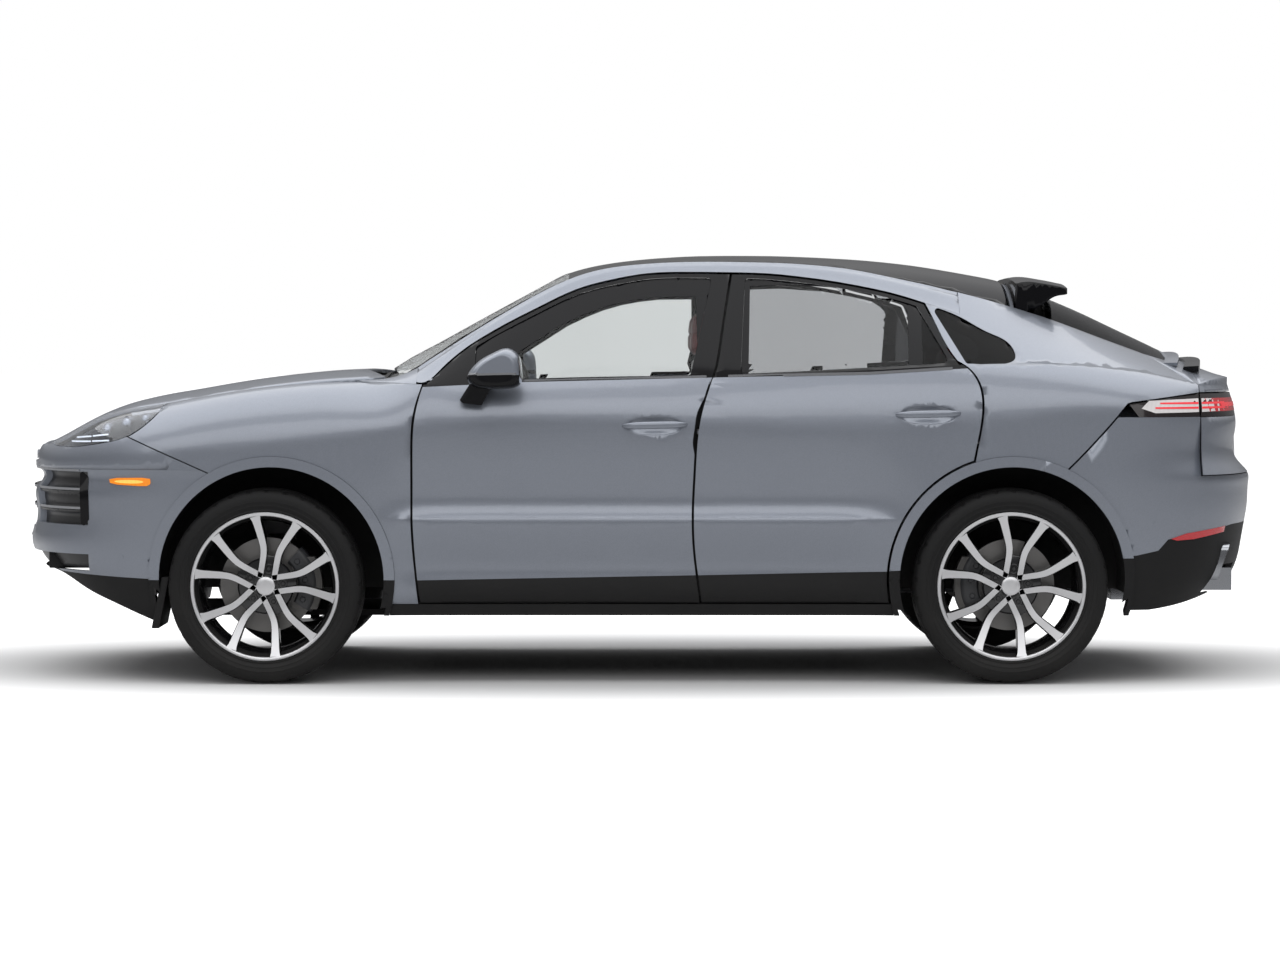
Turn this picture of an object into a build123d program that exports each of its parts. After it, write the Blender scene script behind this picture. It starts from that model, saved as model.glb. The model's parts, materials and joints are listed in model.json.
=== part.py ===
"""Coupe sport utility vehicle, in millimetres.

X runs from the nose (-X) to the tail (+X), +Y is the vehicle's right side and -Y its left,
and +Z is up from the ground. Y = 0 is the vehicle's mirror plane and the origin lies on the
ground at the middle of the length. Left pieces are modelled on +Y first and mirrored.
"""

import os
from math import atan2, cos, hypot, pi, radians, sin

from build123d import *

# --- driving dimensions -------------------------------------------------------------------
LENGTH = 4930.0
WHEELBASE = 2895.0
FRONT_AXLE_X = -1452.0
REAR_AXLE_X = FRONT_AXLE_X + WHEELBASE
HALF_LENGTH = LENGTH / 2
DOOR_HALF_WIDTH = 975.0
FRONT_ARCH_HALF_WIDTH = 980.0
REAR_ARCH_HALF_WIDTH = 983.0
FLARE_LIFT = 8.5  # how far the arch flares stand out of the body side
ROOF_HEIGHT = 1678.0
MIRROR_HALF_SPAN = 1097.0

TYRE_RADIUS = 380.0
TYRE_WIDTH = 285.0
RIM_RADIUS = 266.7  # bead seat of the 21 inch rim
RIM_LIP = 289.0
RIM_WALL = 12.0
RIM_FLANGE = 24.0
SPOKE_PAIRS = 5
SPOKE_WIDTH = 24.0
SPOKE_DEPTH = 36.0
HUB_BORE = 40.0
SPINDLE_CLEARANCE = 0.05
KNUCKLE_TOP = 170.0  # ball joints above and below the wheel's centre
REAR_KNUCKLE_TOP = 110.0
BALL_PIN_RADIUS = 12.0
BALL_GAP = 16.0  # from a ball joint's outer end to the knuckle's post
DISC_CLEAR = 5.0
FRONT_LINK_WINDOW = (535.0, 620.0)  # height of the slots for the upper links
REAR_LINK_WINDOW = (465.0, 515.0)
REAR_RAIL_SIDE = 500.0
BONNET_FORK = (-940.0, 1130.0, 1178.0)
TAILGATE_FORK = (1460.0, 1553.0, 1569.0)
WHEEL_CENTRE_Y = 840.0
HUB_FACE = 48.0  # outboard offset of the hub mounting face from the wheel's middle
KINGPIN_INSET = 62.0  # steering axis inboard of the wheel's middle
FRONT_DISC_RADIUS = 185.0
REAR_DISC_RADIUS = 178.0
DISC_THICKNESS = 34.0
DISC_SET = 46.0  # disc face inboard of the hub face
ARCH_RADIUS = 437.0
FLARE_RADIUS = 478.0
FLARE_GAP = 0.6
FLARE_DEPTH = 70.0
FRONT_ARCH_SHIFT = (23.0, 27.0)
REAR_ARCH_SHIFT = (4.0, 27.0)

PANEL = 12.0  # wall of a fixed outer panel
FLANGE = 5.0  # wall of a door where it laps over its opening
DOOR_INNER_Y = 863.0  # inboard face of the doors
FRAME_DEPTH = 14.0  # window frames
RAIL_WIDTH = 26.0  # flat on top of the roof rails
RAIL_FOOT_WIDTH = 6.0  # the same flat where the front pillar runs out beside the bonnet
GLASS = 5.0
GLASS_INSET = 6.0
GLASS_GAP = 0.5
SHUT_GAP = 9.0
SWING_ROOM = 10.0  # extra room where a door's edge swings past its neighbour
FRAME_GAP = 10.0
INNER_MARGIN = 32.0  # how far a door's inner box stays inside its outer outline

SILL_TOP = 308.0
SILL_BOTTOM = 264.0
DOOR_BOTTOM = 315.0
CREASE_Z = 640.0
HINGE_BEHIND = 18.0  # door hinge axis behind the door's front edge
HINGE_INSIDE = 17.0  # door hinge axis inside the widest skin
HINGE_HEIGHTS = (636.0, 980.0)
PIN_RADIUS = 3.0
PIN_CLEARANCE = 0.05
KNUCKLE_RADIUS = 6.0
KNUCKLE_HEIGHT = 10.0
EYE_HEIGHT = 4.0
EYE_CLEARANCE = 0.5

FRONT_DOOR_X = -883.0  # foremost point of the front door's shut line
REAR_DOOR_X = 207.0
NOSE_START = -1750.0
TAIL_START = 1750.0
BUMPER_TOP = 832.0

BONNET_HINGE = (-965.0, 1172.0)
BONNET_HINGE_Y = 735.0
TAILGATE_HINGE = (1478.0, 1562.0)
HATCH_HINGES = (-120.0, 120.0)
HATCH_FRONT = 1473.0
HATCH_THICKNESS = 28.0
PANE_REAR = 2104.0
ROOF_REAR = 1460.0
ROOF_THICKNESS = 24.0
BONNET_THICKNESS = 16.0


# --- smooth lines -------------------------------------------------------------------------
def through(*points):
    """A smooth function of one value through (value, result) points, straight beyond them."""
    count = len(points)
    slopes = []
    for i in range(count):
        lo, hi = points[max(i - 1, 0)], points[min(i + 1, count - 1)]
        if 0 < i < count - 1:
            left = (points[i][1] - lo[1]) / (points[i][0] - lo[0])
            right = (hi[1] - points[i][1]) / (hi[0] - points[i][0])
            weight = (hi[0] - points[i][0]) / (hi[0] - lo[0])
            slopes.append(left * weight + right * (1 - weight))
        else:
            slopes.append((hi[1] - lo[1]) / (hi[0] - lo[0]))

    def value(at):
        if at <= points[0][0]:
            return points[0][1] + slopes[0] * (at - points[0][0])
        for i in range(count - 1):
            (x0, y0), (x1, y1) = points[i], points[i + 1]
            if at <= x1:
                span = x1 - x0
                t = (at - x0) / span
                keep = 2 * t**3 - 3 * t**2 + 1
                return (
                    keep * y0
                    + (t**3 - 2 * t**2 + t) * span * slopes[i]
                    + (1 - keep) * y1
                    + (t**3 - t**2) * span * slopes[i + 1]
                )
        return points[-1][1] + slopes[-1] * (at - points[-1][0])

    return value


def spread(start, end, count):
    return [start + (end - start) * i / (count - 1) for i in range(count)]


# widest half width along the length, between the two rounded ends
side_line = through(
    (NOSE_START, FRONT_ARCH_HALF_WIDTH - 12),
    (FRONT_AXLE_X, FRONT_ARCH_HALF_WIDTH),
    (-1100, FRONT_ARCH_HALF_WIDTH - 2),
    (FRONT_DOOR_X, DOOR_HALF_WIDTH),
    (0, DOOR_HALF_WIDTH - 3),
    (870, DOOR_HALF_WIDTH + 1),
    (REAR_AXLE_X, REAR_ARCH_HALF_WIDTH),
    (TAIL_START, REAR_ARCH_HALF_WIDTH - 8),
)
# how far the skin lies inside the widest line, by height: with the door crease, and without
creased = through(
    (250, 78), (314, 60), (350, 46), (440, 50), (520, 32), (600, 9), (CREASE_Z, 0),
    (668, 15), (715, 24), (780, 18), (880, 6), (980, 0), (1060, 0),
)
plain = through(
    (250, 60), (314, 44), (440, 24), (CREASE_Z, 6), (800, 0), (980, 0), (1060, 0)
)
crease_share = through(
    (-1100, 0), (-990, 0.15), (-875, 0.8), (-700, 1), (0, 1), (700, 1), (880, 0.8),
    (990, 0.15), (1100, 0),
)
# reach of the nose and the tail beyond NOSE_START and TAIL_START, by height
nose_reach = through(
    (250, 540), (338, 575), (385, 610), (424, 648), (502, 712), (553, 715), (611, 703),
    (720, 700), (827, 698), (890, 688), (930, 640), (1000, 520),
)
tail_reach = through(
    (270, 540), (360, 610), (430, 660), (520, 684), (611, 700), (700, 712), (765, 715),
    (812, 708), (850, 672), (892, 650), (950, 654), (1010, 662), (1060, 655),
    (1120, 640), (1165, 628), (1230, 610),
)
tail_side = through((1040, 0), (1080, 8), (1120, 28), (1165, 66), (1200, 110))
NOSE_POWER = 2.6
TAIL_POWER = 2.8


def inset(x, z):
    share = min(max(crease_share(x), 0), 1)
    return share * creased(z) + (1 - share) * plain(z)


def base_half(x, z):
    """Half width of the lower body at a place along it and a height."""
    if x < NOSE_START:
        share = min((NOSE_START - x) / nose_reach(z), 1)
        full = side_line(NOSE_START) - plain(z)
        return full * (1 - share**NOSE_POWER) ** (1 / NOSE_POWER)
    if x > TAIL_START:
        share = min((x - TAIL_START) / tail_reach(z), 1)
        full = side_line(TAIL_START) - plain(z)
        return full * (1 - share**TAIL_POWER) ** (1 / TAIL_POWER)
    return side_line(x) - inset(x, z)


# shoulder: where it starts, and the edge it rolls over to
shoulder_start = through(
    (-2440, 860), (-2330, 856), (-2100, 862), (-1869, 872), (-1452, 900), (-1100, 950),
    (-875, 980), (1250, 980), (1450, 1000), (1667, 1040), (2190, 1040),
)
edge_y = through(
    (-2440, 240), (-2425, 330), (-2400, 425), (-2330, 560), (-2259, 628), (-2181, 674),
    (-2103, 704), (-1990, 735), (-1869, 757), (-1718, 777), (-1523, 791), (-1327, 802),
    (-1171, 812), (-1100, 818), (-1053, 828), (-950, 878), (-875, 910), (-600, 917), (0, 917),
    (900, 918), (1343, 912), (1600, 893), (1800, 868), (1985, 836), (2190, 785),
)
edge_z = through(
    (-2440, 891), (-2400, 906), (-2330, 932), (-2259, 963), (-2181, 1004), (-2103, 1040),
    (-1990, 1067), (-1869, 1085), (-1718, 1112), (-1523, 1143), (-1327, 1164),
    (-1171, 1172), (-1053, 1172), (-950, 1168), (-875, 1164), (-600, 1168), (-367, 1177),
    (391, 1193), (900, 1218), (1343, 1242), (1600, 1243), (1800, 1232), (1985, 1209),
    (2190, 1165),
)
shoulder_round = through(
    (-2440, 1.6), (-1500, 2), (-1171, 1.6), (-950, 1.1), (-800, 1), (1000, 1),
    (1500, 1.2), (2190, 1.5),
)
# greenhouse: foot at the belt and head at the roof rail
rail_y = through(
    (-1120, 804), (-1053, 802), (-965, 790), (-890, 772), (-748, 742), (-551, 704), (-393, 675), (-254, 652),
    (-156, 640), (42, 628), (239, 622), (634, 615), (832, 609), (1030, 602), (1227, 594),
    (1425, 586), (1622, 578), (1820, 571), (2037, 565), (2190, 560),
)
rail_z = through(
    (-1120, 1177), (-1053, 1180), (-965, 1190), (-890, 1216), (-748, 1307), (-551, 1430), (-393, 1520), (-254, 1584),
    (-156, 1612), (42, 1637), (239, 1644), (397, 1643), (634, 1635), (832, 1615),
    (1030, 1576), (1227, 1532), (1425, 1480), (1622, 1419), (1820, 1346), (2037, 1266),
    (2190, 1205),
)
foot_inset = through((-1200, 2), (-1000, 5), (-860, 14), (0, 14), (1250, 14), (1420, 3), (2200, 2))
# lower edge of the painted rail over the doors
band_low = through(
    (-870, 1130), (-844, 1155), (-664, 1317), (-548, 1386), (-470, 1429), (-391, 1468),
    (-312, 1508), (-233, 1541), (-155, 1564), (-76, 1580), (2, 1596), (81, 1602), (238, 1604),
    (375, 1602), (475, 1600), (630, 1586), (826, 1557), (1022, 1514), (1139, 1477),
    (1335, 1403), (1453, 1335),
)
FRAME_TOP = 15.0  # door frame above the window opening
RAIL_GAP = 9.0
RAIL_REAR = 1260.0


def window_top(x):
    return band_low(x) - FRAME_TOP - RAIL_GAP


bonnet_y = through(
    (-2440, 240), (-2425, 330), (-2400, 425), (-2330, 560), (-2259, 628), (-2181, 674),
    (-2103, 704), (-1990, 735), (-1869, 757), (-1718, 777), (-1523, 791), (-1327, 800),
    (-1171, 804), (-1053, 798), (-985, 778),
)
rail_width = through(
    (-1110, RAIL_FOOT_WIDTH), (-1000, RAIL_FOOT_WIDTH + 1), (-940, 14), (-860, RAIL_WIDTH),
    (-800, RAIL_WIDTH),
    (2200, RAIL_WIDTH),
)
# shut lines, x by height
front_shut = through(
    (314, -856), (446, -872), (CREASE_Z, FRONT_DOOR_X), (800, FRONT_DOOR_X), (987, -879),
    (1103, -864), (1175, -834),
)
middle_shut = through(
    (314, 238), (426, 223), (600, REAR_DOOR_X), (755, 211), (948, 223), (1103, 250),
    (1196, 289), (1400, 328), (1640, 368),
)
rear_shut = through(
    (873, 1299), (991, 1321), (1070, 1333), (1119, 1332), (1179, 1304), (1233, 1252),
    (1487, 1118),
)
centre_z = through(
    (-2446, 886), (-2435, 893), (-2400, 913), (-2350, 940), (-2300, 967), (-2250, 996),
    (-2200, 1022), (-2150, 1046), (-2072, 1077), (-1975, 1103), (-1781, 1138),
    (-1588, 1171), (-1394, 1196), (-1200, 1213), (-1103, 1217),
)
screen_z = through(
    (-998, 1219), (-958, 1246), (-800, 1333), (-600, 1443), (-400, 1551), (-329, 1589),
    (-280, 1609), (-183, 1635), (-38, 1657), (107, 1670), (253, 1677), (400, ROOF_HEIGHT),
    (543, 1677), (737, 1670), (931, 1658), (1124, 1637), (1318, 1605), (1463, 1576),
    (1600, 1529), (1754, 1467), (1947, 1376), (2093, 1306), (2190, 1256), (2260, 1228),
    (2310, 1208), (2380, 1186),
)


def skin_half(x, z):
    """Half width of the body side below the belt, with its rolled shoulder."""
    start, top = shoulder_start(x), edge_z(x)
    wide = base_half(x, min(z, start))
    if z <= start:
        return wide
    share = min((z - start) / (top - start), 1)
    drop = 1 - (1 - share**2) ** (1 / max(shoulder_round(x), 1))
    return wide + (edge_y(x) - wide) * drop


def glass_half(x, z):
    """Half width of the greenhouse side at a height between belt and rail."""
    foot_y, foot_z = edge_y(x) - foot_inset(x), edge_z(x) - 8
    share = (z - foot_z) / (rail_z(x) - foot_z)
    bow = 16 * 4 * share * (1 - share)
    return foot_y + (rail_y(x) - foot_y) * share + bow


# --- solid builders -----------------------------------------------------------------------
def wire_of(strokes):
    """A closed wire from strokes: two points make a line, more make a spline."""
    edges = []
    for points in strokes:
        edges.append(Spline(*points) if len(points) > 2 else Line(*points))
    return Wire(edges)


def offset_points(points, depth):
    """The (a, b) points moved to the left of their direction of travel by depth."""
    moved = []
    for i, (a, b) in enumerate(points):
        before, after = points[max(i - 1, 0)], points[min(i + 1, len(points) - 1)]
        run = hypot(after[0] - before[0], after[1] - before[1])
        step = (after[0] - before[0]) / run, (after[1] - before[1]) / run
        moved.append((a - step[1] * depth, b + step[0] * depth))
    return moved


def loft_between(stations, profile, depth, split=None):
    """Loft a wall whose outer line at each x is profile(x), a list of (y, z) from the bottom up.

    split is the index of a point where the outer and inner lines have a sharp edge.
    """
    wires = []
    for x in stations:
        outer = profile(x)
        inner = offset_points(outer, depth)
        place = lambda points: [(x, y, z) for y, z in points]
        last = len(outer) - 1
        cuts = [0, split, last] if split else [0, last]
        strokes = [place(outer[a : b + 1]) for a, b in zip(cuts, cuts[1:])]
        strokes.append(place([outer[-1], inner[-1]]))
        back = [place(inner[a : b + 1][::-1]) for a, b in zip(cuts, cuts[1:])]
        strokes += back[::-1]
        strokes.append(place([inner[0], outer[0]]))
        wires.append(wire_of(strokes))
    return Solid.make_loft(wires)


def side_wall(stations, low, high, depth, lift=0.0):
    """Body side wall between two lines of height, sharp at the crease when it spans it."""
    spans = all(low(x) < CREASE_Z - 20 and high(x) > CREASE_Z + 40 for x in stations)

    def profile(x):
        if spans:
            heights = spread(low(x), CREASE_Z, 6) + spread(CREASE_Z, high(x), 13)[1:]
        else:
            heights = spread(low(x), high(x), 12)
        return [(skin_half(x, z) + lift, z) for z in heights]

    return loft_between(stations, profile, depth, 5 if spans else None)


def glass_wall(stations, low, high, depth, lift=0.0):
    """Greenhouse side wall between two lines of height, depth thick across the vehicle."""
    wires = []
    for x in stations:
        outer = [(x, glass_half(x, z) + lift, z) for z in spread(low(x), high(x), 5)]
        inner = [(x, y - depth, z) for x, y, z in outer[::-1]]
        wires.append(wire_of([outer, [outer[-1], inner[0]], inner, [inner[-1], outer[0]]]))
    return Solid.make_loft(wires)


def rail_wall(stations, low):
    """Roof rail: the top of the greenhouse side, rolled over into a flat for the roof."""
    wires = []
    for x in stations:
        head_y, head_z, foot = rail_y(x), rail_z(x), low(x)
        outer = [(x, glass_half(x, z), z) for z in spread(foot, head_z - 14, 3)]
        width = rail_width(x)
        for back, down in ((0.1, 6), (0.3, 1), (0.6, 0), (1, 0)):
            outer.append((x, head_y - back * width, head_z - down))
        under = (x, glass_half(x, foot) - width, foot)
        wires.append(wire_of([outer, [outer[-1], under], [under, outer[0]]]))
    return Solid.make_loft(wires)


def crown_plate(stations, centre, half, edge, depth, power=2.3, drop=0.0):
    """Plate across the vehicle, crowned from edge height to centre height, depth thick."""
    wires = []
    for x in stations:
        top_z, edge_height, wide = centre(x) - drop, edge(x) - drop, half(x)
        top = []
        for y in spread(-wide, wide, 17):
            top.append((y, top_z - (top_z - edge_height) * abs(y / wide) ** power))
        under = [(y, z - depth) for y, z in top]
        place = lambda points: [(x, y, z) for y, z in points]
        strokes = [
            place(top),
            place([top[-1], under[-1]]),
            place(under[::-1]),
            place([under[0], top[0]]),
        ]
        wires.append(wire_of(strokes))
    return Solid.make_loft(wires)


def wrap_wall(heights, reach, start, sign, depth, narrow=None, inside=0.0):
    """Wall around an end of the body: sign -1 for the nose and +1 for the tail.

    narrow(z) draws its sides in, and inside moves the whole wall inwards.
    """
    wires = []
    for z in heights:
        power = NOSE_POWER if sign < 0 else TAIL_POWER
        origin = NOSE_START if sign < 0 else TAIL_START
        wide = side_line(origin) - plain(z) - (narrow(z) if narrow else 0) - inside
        far = reach(z) - inside
        outer = []
        for i in range(31):
            angle = -pi / 2 + pi * i / 30
            along = far * cos(angle) ** (2 / power) if 0 < i < 30 else 0.0
            across = wide * abs(sin(angle)) ** (2 / power) * (1 if angle > 0 else -1)
            outer.append((sign * along + origin, across))
        inner = []
        for i in range(31):
            angle = -pi / 2 + pi * i / 30
            along = (far - depth) * cos(angle) ** (2 / power) if 0 < i < 30 else 0.0
            across = (wide - depth) * abs(sin(angle)) ** (2 / power)
            inner.append((sign * along + origin, across * (1 if angle > 0 else -1)))
        tail = (start, wide), (start, wide - depth)
        place = lambda points: [(x, y, z) for x, y in points]
        strokes = [
            place([(start, -wide), outer[0]]),
            place(outer),
            place([outer[-1], tail[0]]),
            place([tail[0], tail[1]]),
            place([tail[1], inner[-1]]),
            place(inner[::-1]),
            place([inner[0], (start, depth - wide)]),
            place([(start, depth - wide), (start, -wide)]),
        ]
        wires.append(wire_of(strokes))
    return Solid.make_loft(wires)


def join(strokes):
    """Close strokes of points into a ring: each starts where the one before it ended."""
    ring = []
    for i, points in enumerate(strokes):
        following = strokes[(i + 1) % len(strokes)][0]
        ring.append(points if points[-1] == following or len(points) == 2 else points)
        if points[-1] != following:
            ring.append([points[-1], following])
    return [points for points in ring if len(points) > 1]


def side_prism(strokes, low=0.0, high=1300.0, round_by=0.0):
    """Prism along Y over a ring of (x, z) strokes, with its corners rounded."""
    rings = [[(x, z, 0) for x, z in points] for points in join(strokes)]
    face = make_face(wire_of(rings))
    if round_by:
        face = fillet(face.vertices(), round_by)
    placed = Plane((0, low, 0), x_dir=(1, 0, 0), z_dir=(0, -1, 0)) * face
    return extrude(placed, high - low, dir=(0, 1, 0))


def plan_prism(strokes, low, high):
    """Prism along Z between two heights over a ring of (x, y) strokes."""
    rings = [[(x, y, low) for x, y in points] for points in join(strokes)]
    return extrude(make_face(wire_of(rings)), high - low, dir=(0, 0, 1))


def front_prism(strokes, low, high):
    """Prism along X between two places over a ring of (y, z) strokes."""
    rings = [[(y, z, 0) for y, z in points] for points in join(strokes)]
    placed = Plane((low, 0, 0), x_dir=(0, 1, 0), z_dir=(1, 0, 0)) * make_face(wire_of(rings))
    return extrude(placed, high - low, dir=(1, 0, 0))


def line_points(line, heights, shift=0.0):
    """Points (line(z) + shift, z) of a shut line at the given heights."""
    return [(line(z) + shift, z) for z in heights]


def top_points(line, places, shift=0.0):
    """Points (x, line(x) + shift) of a line of height at the given places."""
    return [(x, line(x) + shift) for x in places]


def box(x0, x1, y0, y1, z0, z1):
    return Pos((x0 + x1) / 2, (y0 + y1) / 2, (z0 + z1) / 2) * Box(
        abs(x1 - x0), abs(y1 - y0), abs(z1 - z0)
    )


def across(x, z, y0, y1, radius):
    """Cylinder along Y."""
    return Pos(x, (y0 + y1) / 2, z) * Rot(90, 0, 0) * Cylinder(radius, abs(y1 - y0))


def upright(x, y, z0, z1, radius):
    return Pos(x, y, (z0 + z1) / 2) * Cylinder(radius, z1 - z0)


def other_side(shape):
    return mirror(shape, about=Plane.XZ)


def both(shape):
    return Compound(children=[*shape.solids(), *other_side(shape).solids()])


def keep_largest(shape):
    return max(shape.solids(), key=lambda solid: solid.volume)


def save(shapes, name):
    """Write the solids of some shapes as one node."""
    solids = [solid for shape in shapes for solid in shape.solids()]
    whole = solids[0] if len(solids) == 1 else Compound(children=solids)
    export_step(whole, f"parts/{name}.step")


# --- doors --------------------------------------------------------------------------------
def arch_cutter(axle_x, shift, radius):
    return across(axle_x + shift[0], TYRE_RADIUS + shift[1], 400, 1300, radius)


def always(value):
    return lambda x: value


def front_door_window():
    """Outline of the front door's glass, as strokes."""
    foot, head = (lambda x: edge_z(x) + 10), window_top
    back = [(middle_shut(1200) - 92, foot(middle_shut(1200) - 92)), (286, head(286))]
    return [
        top_points(foot, spread(-640, back[0][0], 5)),
        back,
        top_points(head, spread(286, -640, 9)),
    ]


def rear_door_window():
    foot, head = (lambda x: edge_z(x) + 10), window_top
    front_low, front_high = middle_shut(1210) + 100, middle_shut(1590) + 56
    return [
        top_points(foot, spread(front_low, 1208, 5)),
        [(1208, foot(1208)), (1090, head(1090))],
        top_points(head, spread(1090, front_high, 8)),
    ]


def door_outline(front, rear, margin, bottom, top):
    """Lower door outline between two shut lines, inset by margin on every side."""
    low, high = bottom + margin, top - margin
    return [
        line_points(front, spread(high, low, 9), margin),
        line_points(rear, spread(low, high, 9), -margin),
    ]


def knuckles(x, y, behind):
    """Hinge sleeves of one door with the webs that carry them back to the door's box."""
    made = []
    for z in HINGE_HEIGHTS:
        sleeve = upright(x, y, z - KNUCKLE_HEIGHT / 2, z + KNUCKLE_HEIGHT / 2, KNUCKLE_RADIUS)
        web = box(x, behind, y - 5, y + 3, z - KNUCKLE_HEIGHT / 2, z + KNUCKLE_HEIGHT / 2)
        bore = upright(x, y, z - 20, z + 20, PIN_RADIUS + PIN_CLEARANCE)
        made.append((sleeve + web) - bore)
    return made


def hinge_brackets(x, y, pillar_y):
    """Pins with an eye above and below each sleeve, on arms that run inboard to a pillar."""
    made = []
    reach = KNUCKLE_HEIGHT / 2 + EYE_CLEARANCE + EYE_HEIGHT
    for z in HINGE_HEIGHTS:
        shape = upright(x, y, z - reach, z + reach, PIN_RADIUS)
        for side in (-1, 1):
            near, far = sorted((z + side * (reach - EYE_HEIGHT), z + side * reach))
            eye = upright(x, y, near, far, KNUCKLE_RADIUS)
            shape += eye + box(x - 6, x + 6, pillar_y, y, near, far)
        made.append(shape + box(x - 6, x + 6, pillar_y - 6, pillar_y + 6, z - reach, z + reach))
    return made


FRONT_HINGE_X = FRONT_DOOR_X + SHUT_GAP / 2 + HINGE_BEHIND
REAR_HINGE_X = REAR_DOOR_X + SHUT_GAP / 2 + HINGE_BEHIND
FRONT_HINGE_Y = side_line(FRONT_HINGE_X) - HINGE_INSIDE
REAR_HINGE_Y = side_line(REAR_HINGE_X) - HINGE_INSIDE
PILLAR_Y = 880.0


def make_door(span, front, rear, frame_span, window, hinge, extra=None):
    """A door: lapped skin, inner box and window frame, with its hinge sleeves.

    span is the x range of the skin, front and rear its shut lines, frame_span the x range
    of its window frame and extra a shape taken away from skin and box alike.
    """
    half = SHUT_GAP / 2
    xs = spread(span[0], span[1], 9)
    belt = lambda x: edge_z(x)
    skin = side_wall(xs, always(DOOR_BOTTOM), belt, FLANGE)
    core = side_wall(xs, always(DOOR_BOTTOM + 20), lambda x: edge_z(x) - 6, 170, -FLANGE / 2)
    lap = side_prism(door_outline(front, rear, half, DOOR_BOTTOM - half, 1260), 700)
    inner = side_prism(
        door_outline(front, rear, INNER_MARGIN, DOOR_BOTTOM, 1290), DOOR_INNER_Y
    )
    frame = glass_wall(
        spread(frame_span[0], frame_span[1], 12), lambda x: edge_z(x) - 26,
        lambda x: max(band_low(x) + 2, edge_z(x) - 4), FRAME_DEPTH,
    )
    frame -= side_prism([
        top_points(lambda x: window_top(x) + FRAME_TOP, spread(frame_span[0], frame_span[1], 14)),
        [(frame_span[1], 1800), (frame_span[0], 1800)],
    ], 400)
    skin, core = skin & lap, core & inner
    if extra:
        skin, core = skin - extra(0.0), core - extra(INNER_MARGIN)
    upper = frame & side_prism([
        line_points(front, spread(1640, 1130, 6), FRAME_GAP / 2),
        line_points(rear, spread(1130, 1640, 6), -FRAME_GAP / 2),
    ])
    door = skin + core + (upper - side_prism(window, 500, round_by=16))
    for sleeve in knuckles(hinge[0], hinge[1], hinge[0] + 34):
        door += sleeve
    return keep_largest(door)


def swing_room():
    """Room at the front door's rear edge for the rear door's edge as it swings past."""
    edge = lambda z: middle_shut(z) - SHUT_GAP / 2
    depths = [
        (880, -2), (905, 3), (928, SWING_ROOM - 1), (992, SWING_ROOM), (1054, SWING_ROOM - 1), (1080, 4),
        (1104, -2),
    ]
    return side_prism([
        [(edge(z) - depth, z) for z, depth in depths],
        [(edge(1104) + 60, 1104), (edge(880) + 60, 880)],
    ], 700)


def make_front_door():
    door = make_door(
        (-900, 300), front_shut, middle_shut, (-862, 372), front_door_window(),
        (FRONT_HINGE_X, FRONT_HINGE_Y),
    )
    return keep_largest(door - swing_room())


def rear_arch_clear(margin):
    return arch_cutter(REAR_AXLE_X, REAR_ARCH_SHIFT, FLARE_RADIUS + SHUT_GAP + margin)


def make_rear_door():
    return make_door(
        (195, 1345), middle_shut, rear_shut, (285, 1260), rear_door_window(),
        (REAR_HINGE_X, REAR_HINGE_Y), rear_arch_clear,
    )


def drawn_in(strokes, gap):
    """The same outline brought in by gap at its ends, top and bottom."""
    xs = [x for points in strokes for x, _ in points]
    zs = [z for points in strokes for _, z in points]
    middle_x, middle_z = (min(xs) + max(xs)) / 2, (min(zs) + max(zs)) / 2
    share_x, share_z = 1 - 2 * gap / (max(xs) - min(xs)), 1 - 2 * gap / (max(zs) - min(zs))
    return [
        [(middle_x + (x - middle_x) * share_x, middle_z + (z - middle_z) * share_z) for x, z in points]
        for points in strokes
    ]


def make_glass(window, span):
    """Pane of a side window, just smaller than its opening and set in from the frame."""
    sheet = glass_wall(
        spread(span[0], span[1], 10), lambda x: edge_z(x) - 20,
        lambda x: window_top(x) + 10, GLASS, -GLASS_INSET,
    )
    return keep_largest(sheet & side_prism(drawn_in(window, GLASS_GAP), 500, round_by=16))


# --- outer panels -------------------------------------------------------------------------
WING_FRONT_X = -1985.0
BUMPER_REAR_X = 1926.0
BUMPER_WALL = 24.0
LAMP_DEPTH = 70.0
LAMP_GAP = 5.0
PANEL_GAP = 5.0
BONNET_GAP = 6.0
NOSE_TOP = 852.0
NOSE_JOINT = -2392.0  # where the band under each headlamp meets the strip across the nose
TAIL_LAMP_LOW = 1036.0
TAIL_LAMP_TOP = 1132.0
HATCH_SIDE_X = 2187.0
HATCH_BOTTOM = 806.0
LOAD_FLOOR_Z = 545.0
FLOOR_Z = 300.0

lamp_foot = [
    (-2345, 936), (-2290, 920), (-2200, 920), (-2103, 934), (-1993, 962), (-1908, 1021),
    (-1872, 1060), (-1858, 1083),
]
wing_seam = [(-1993, 962), (-1716, 839)]  # between the wing and the front bumper
quarter_seam = [(1640, 814), (1667, 840), (1891, 1087)]


def lamp_prism(gap):
    """Everything above the headlamp's foot line, lowered or raised by gap."""
    foot = [(x + gap * 0.5, z - gap) for x, z in lamp_foot]
    foot[0] = (foot[0][0] - gap * 1.5, foot[0][1])
    top = [(foot[-1][0], 1250), (-2290 - gap * 1.5, 1250)]
    return side_prism([foot, top], 300)


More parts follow.
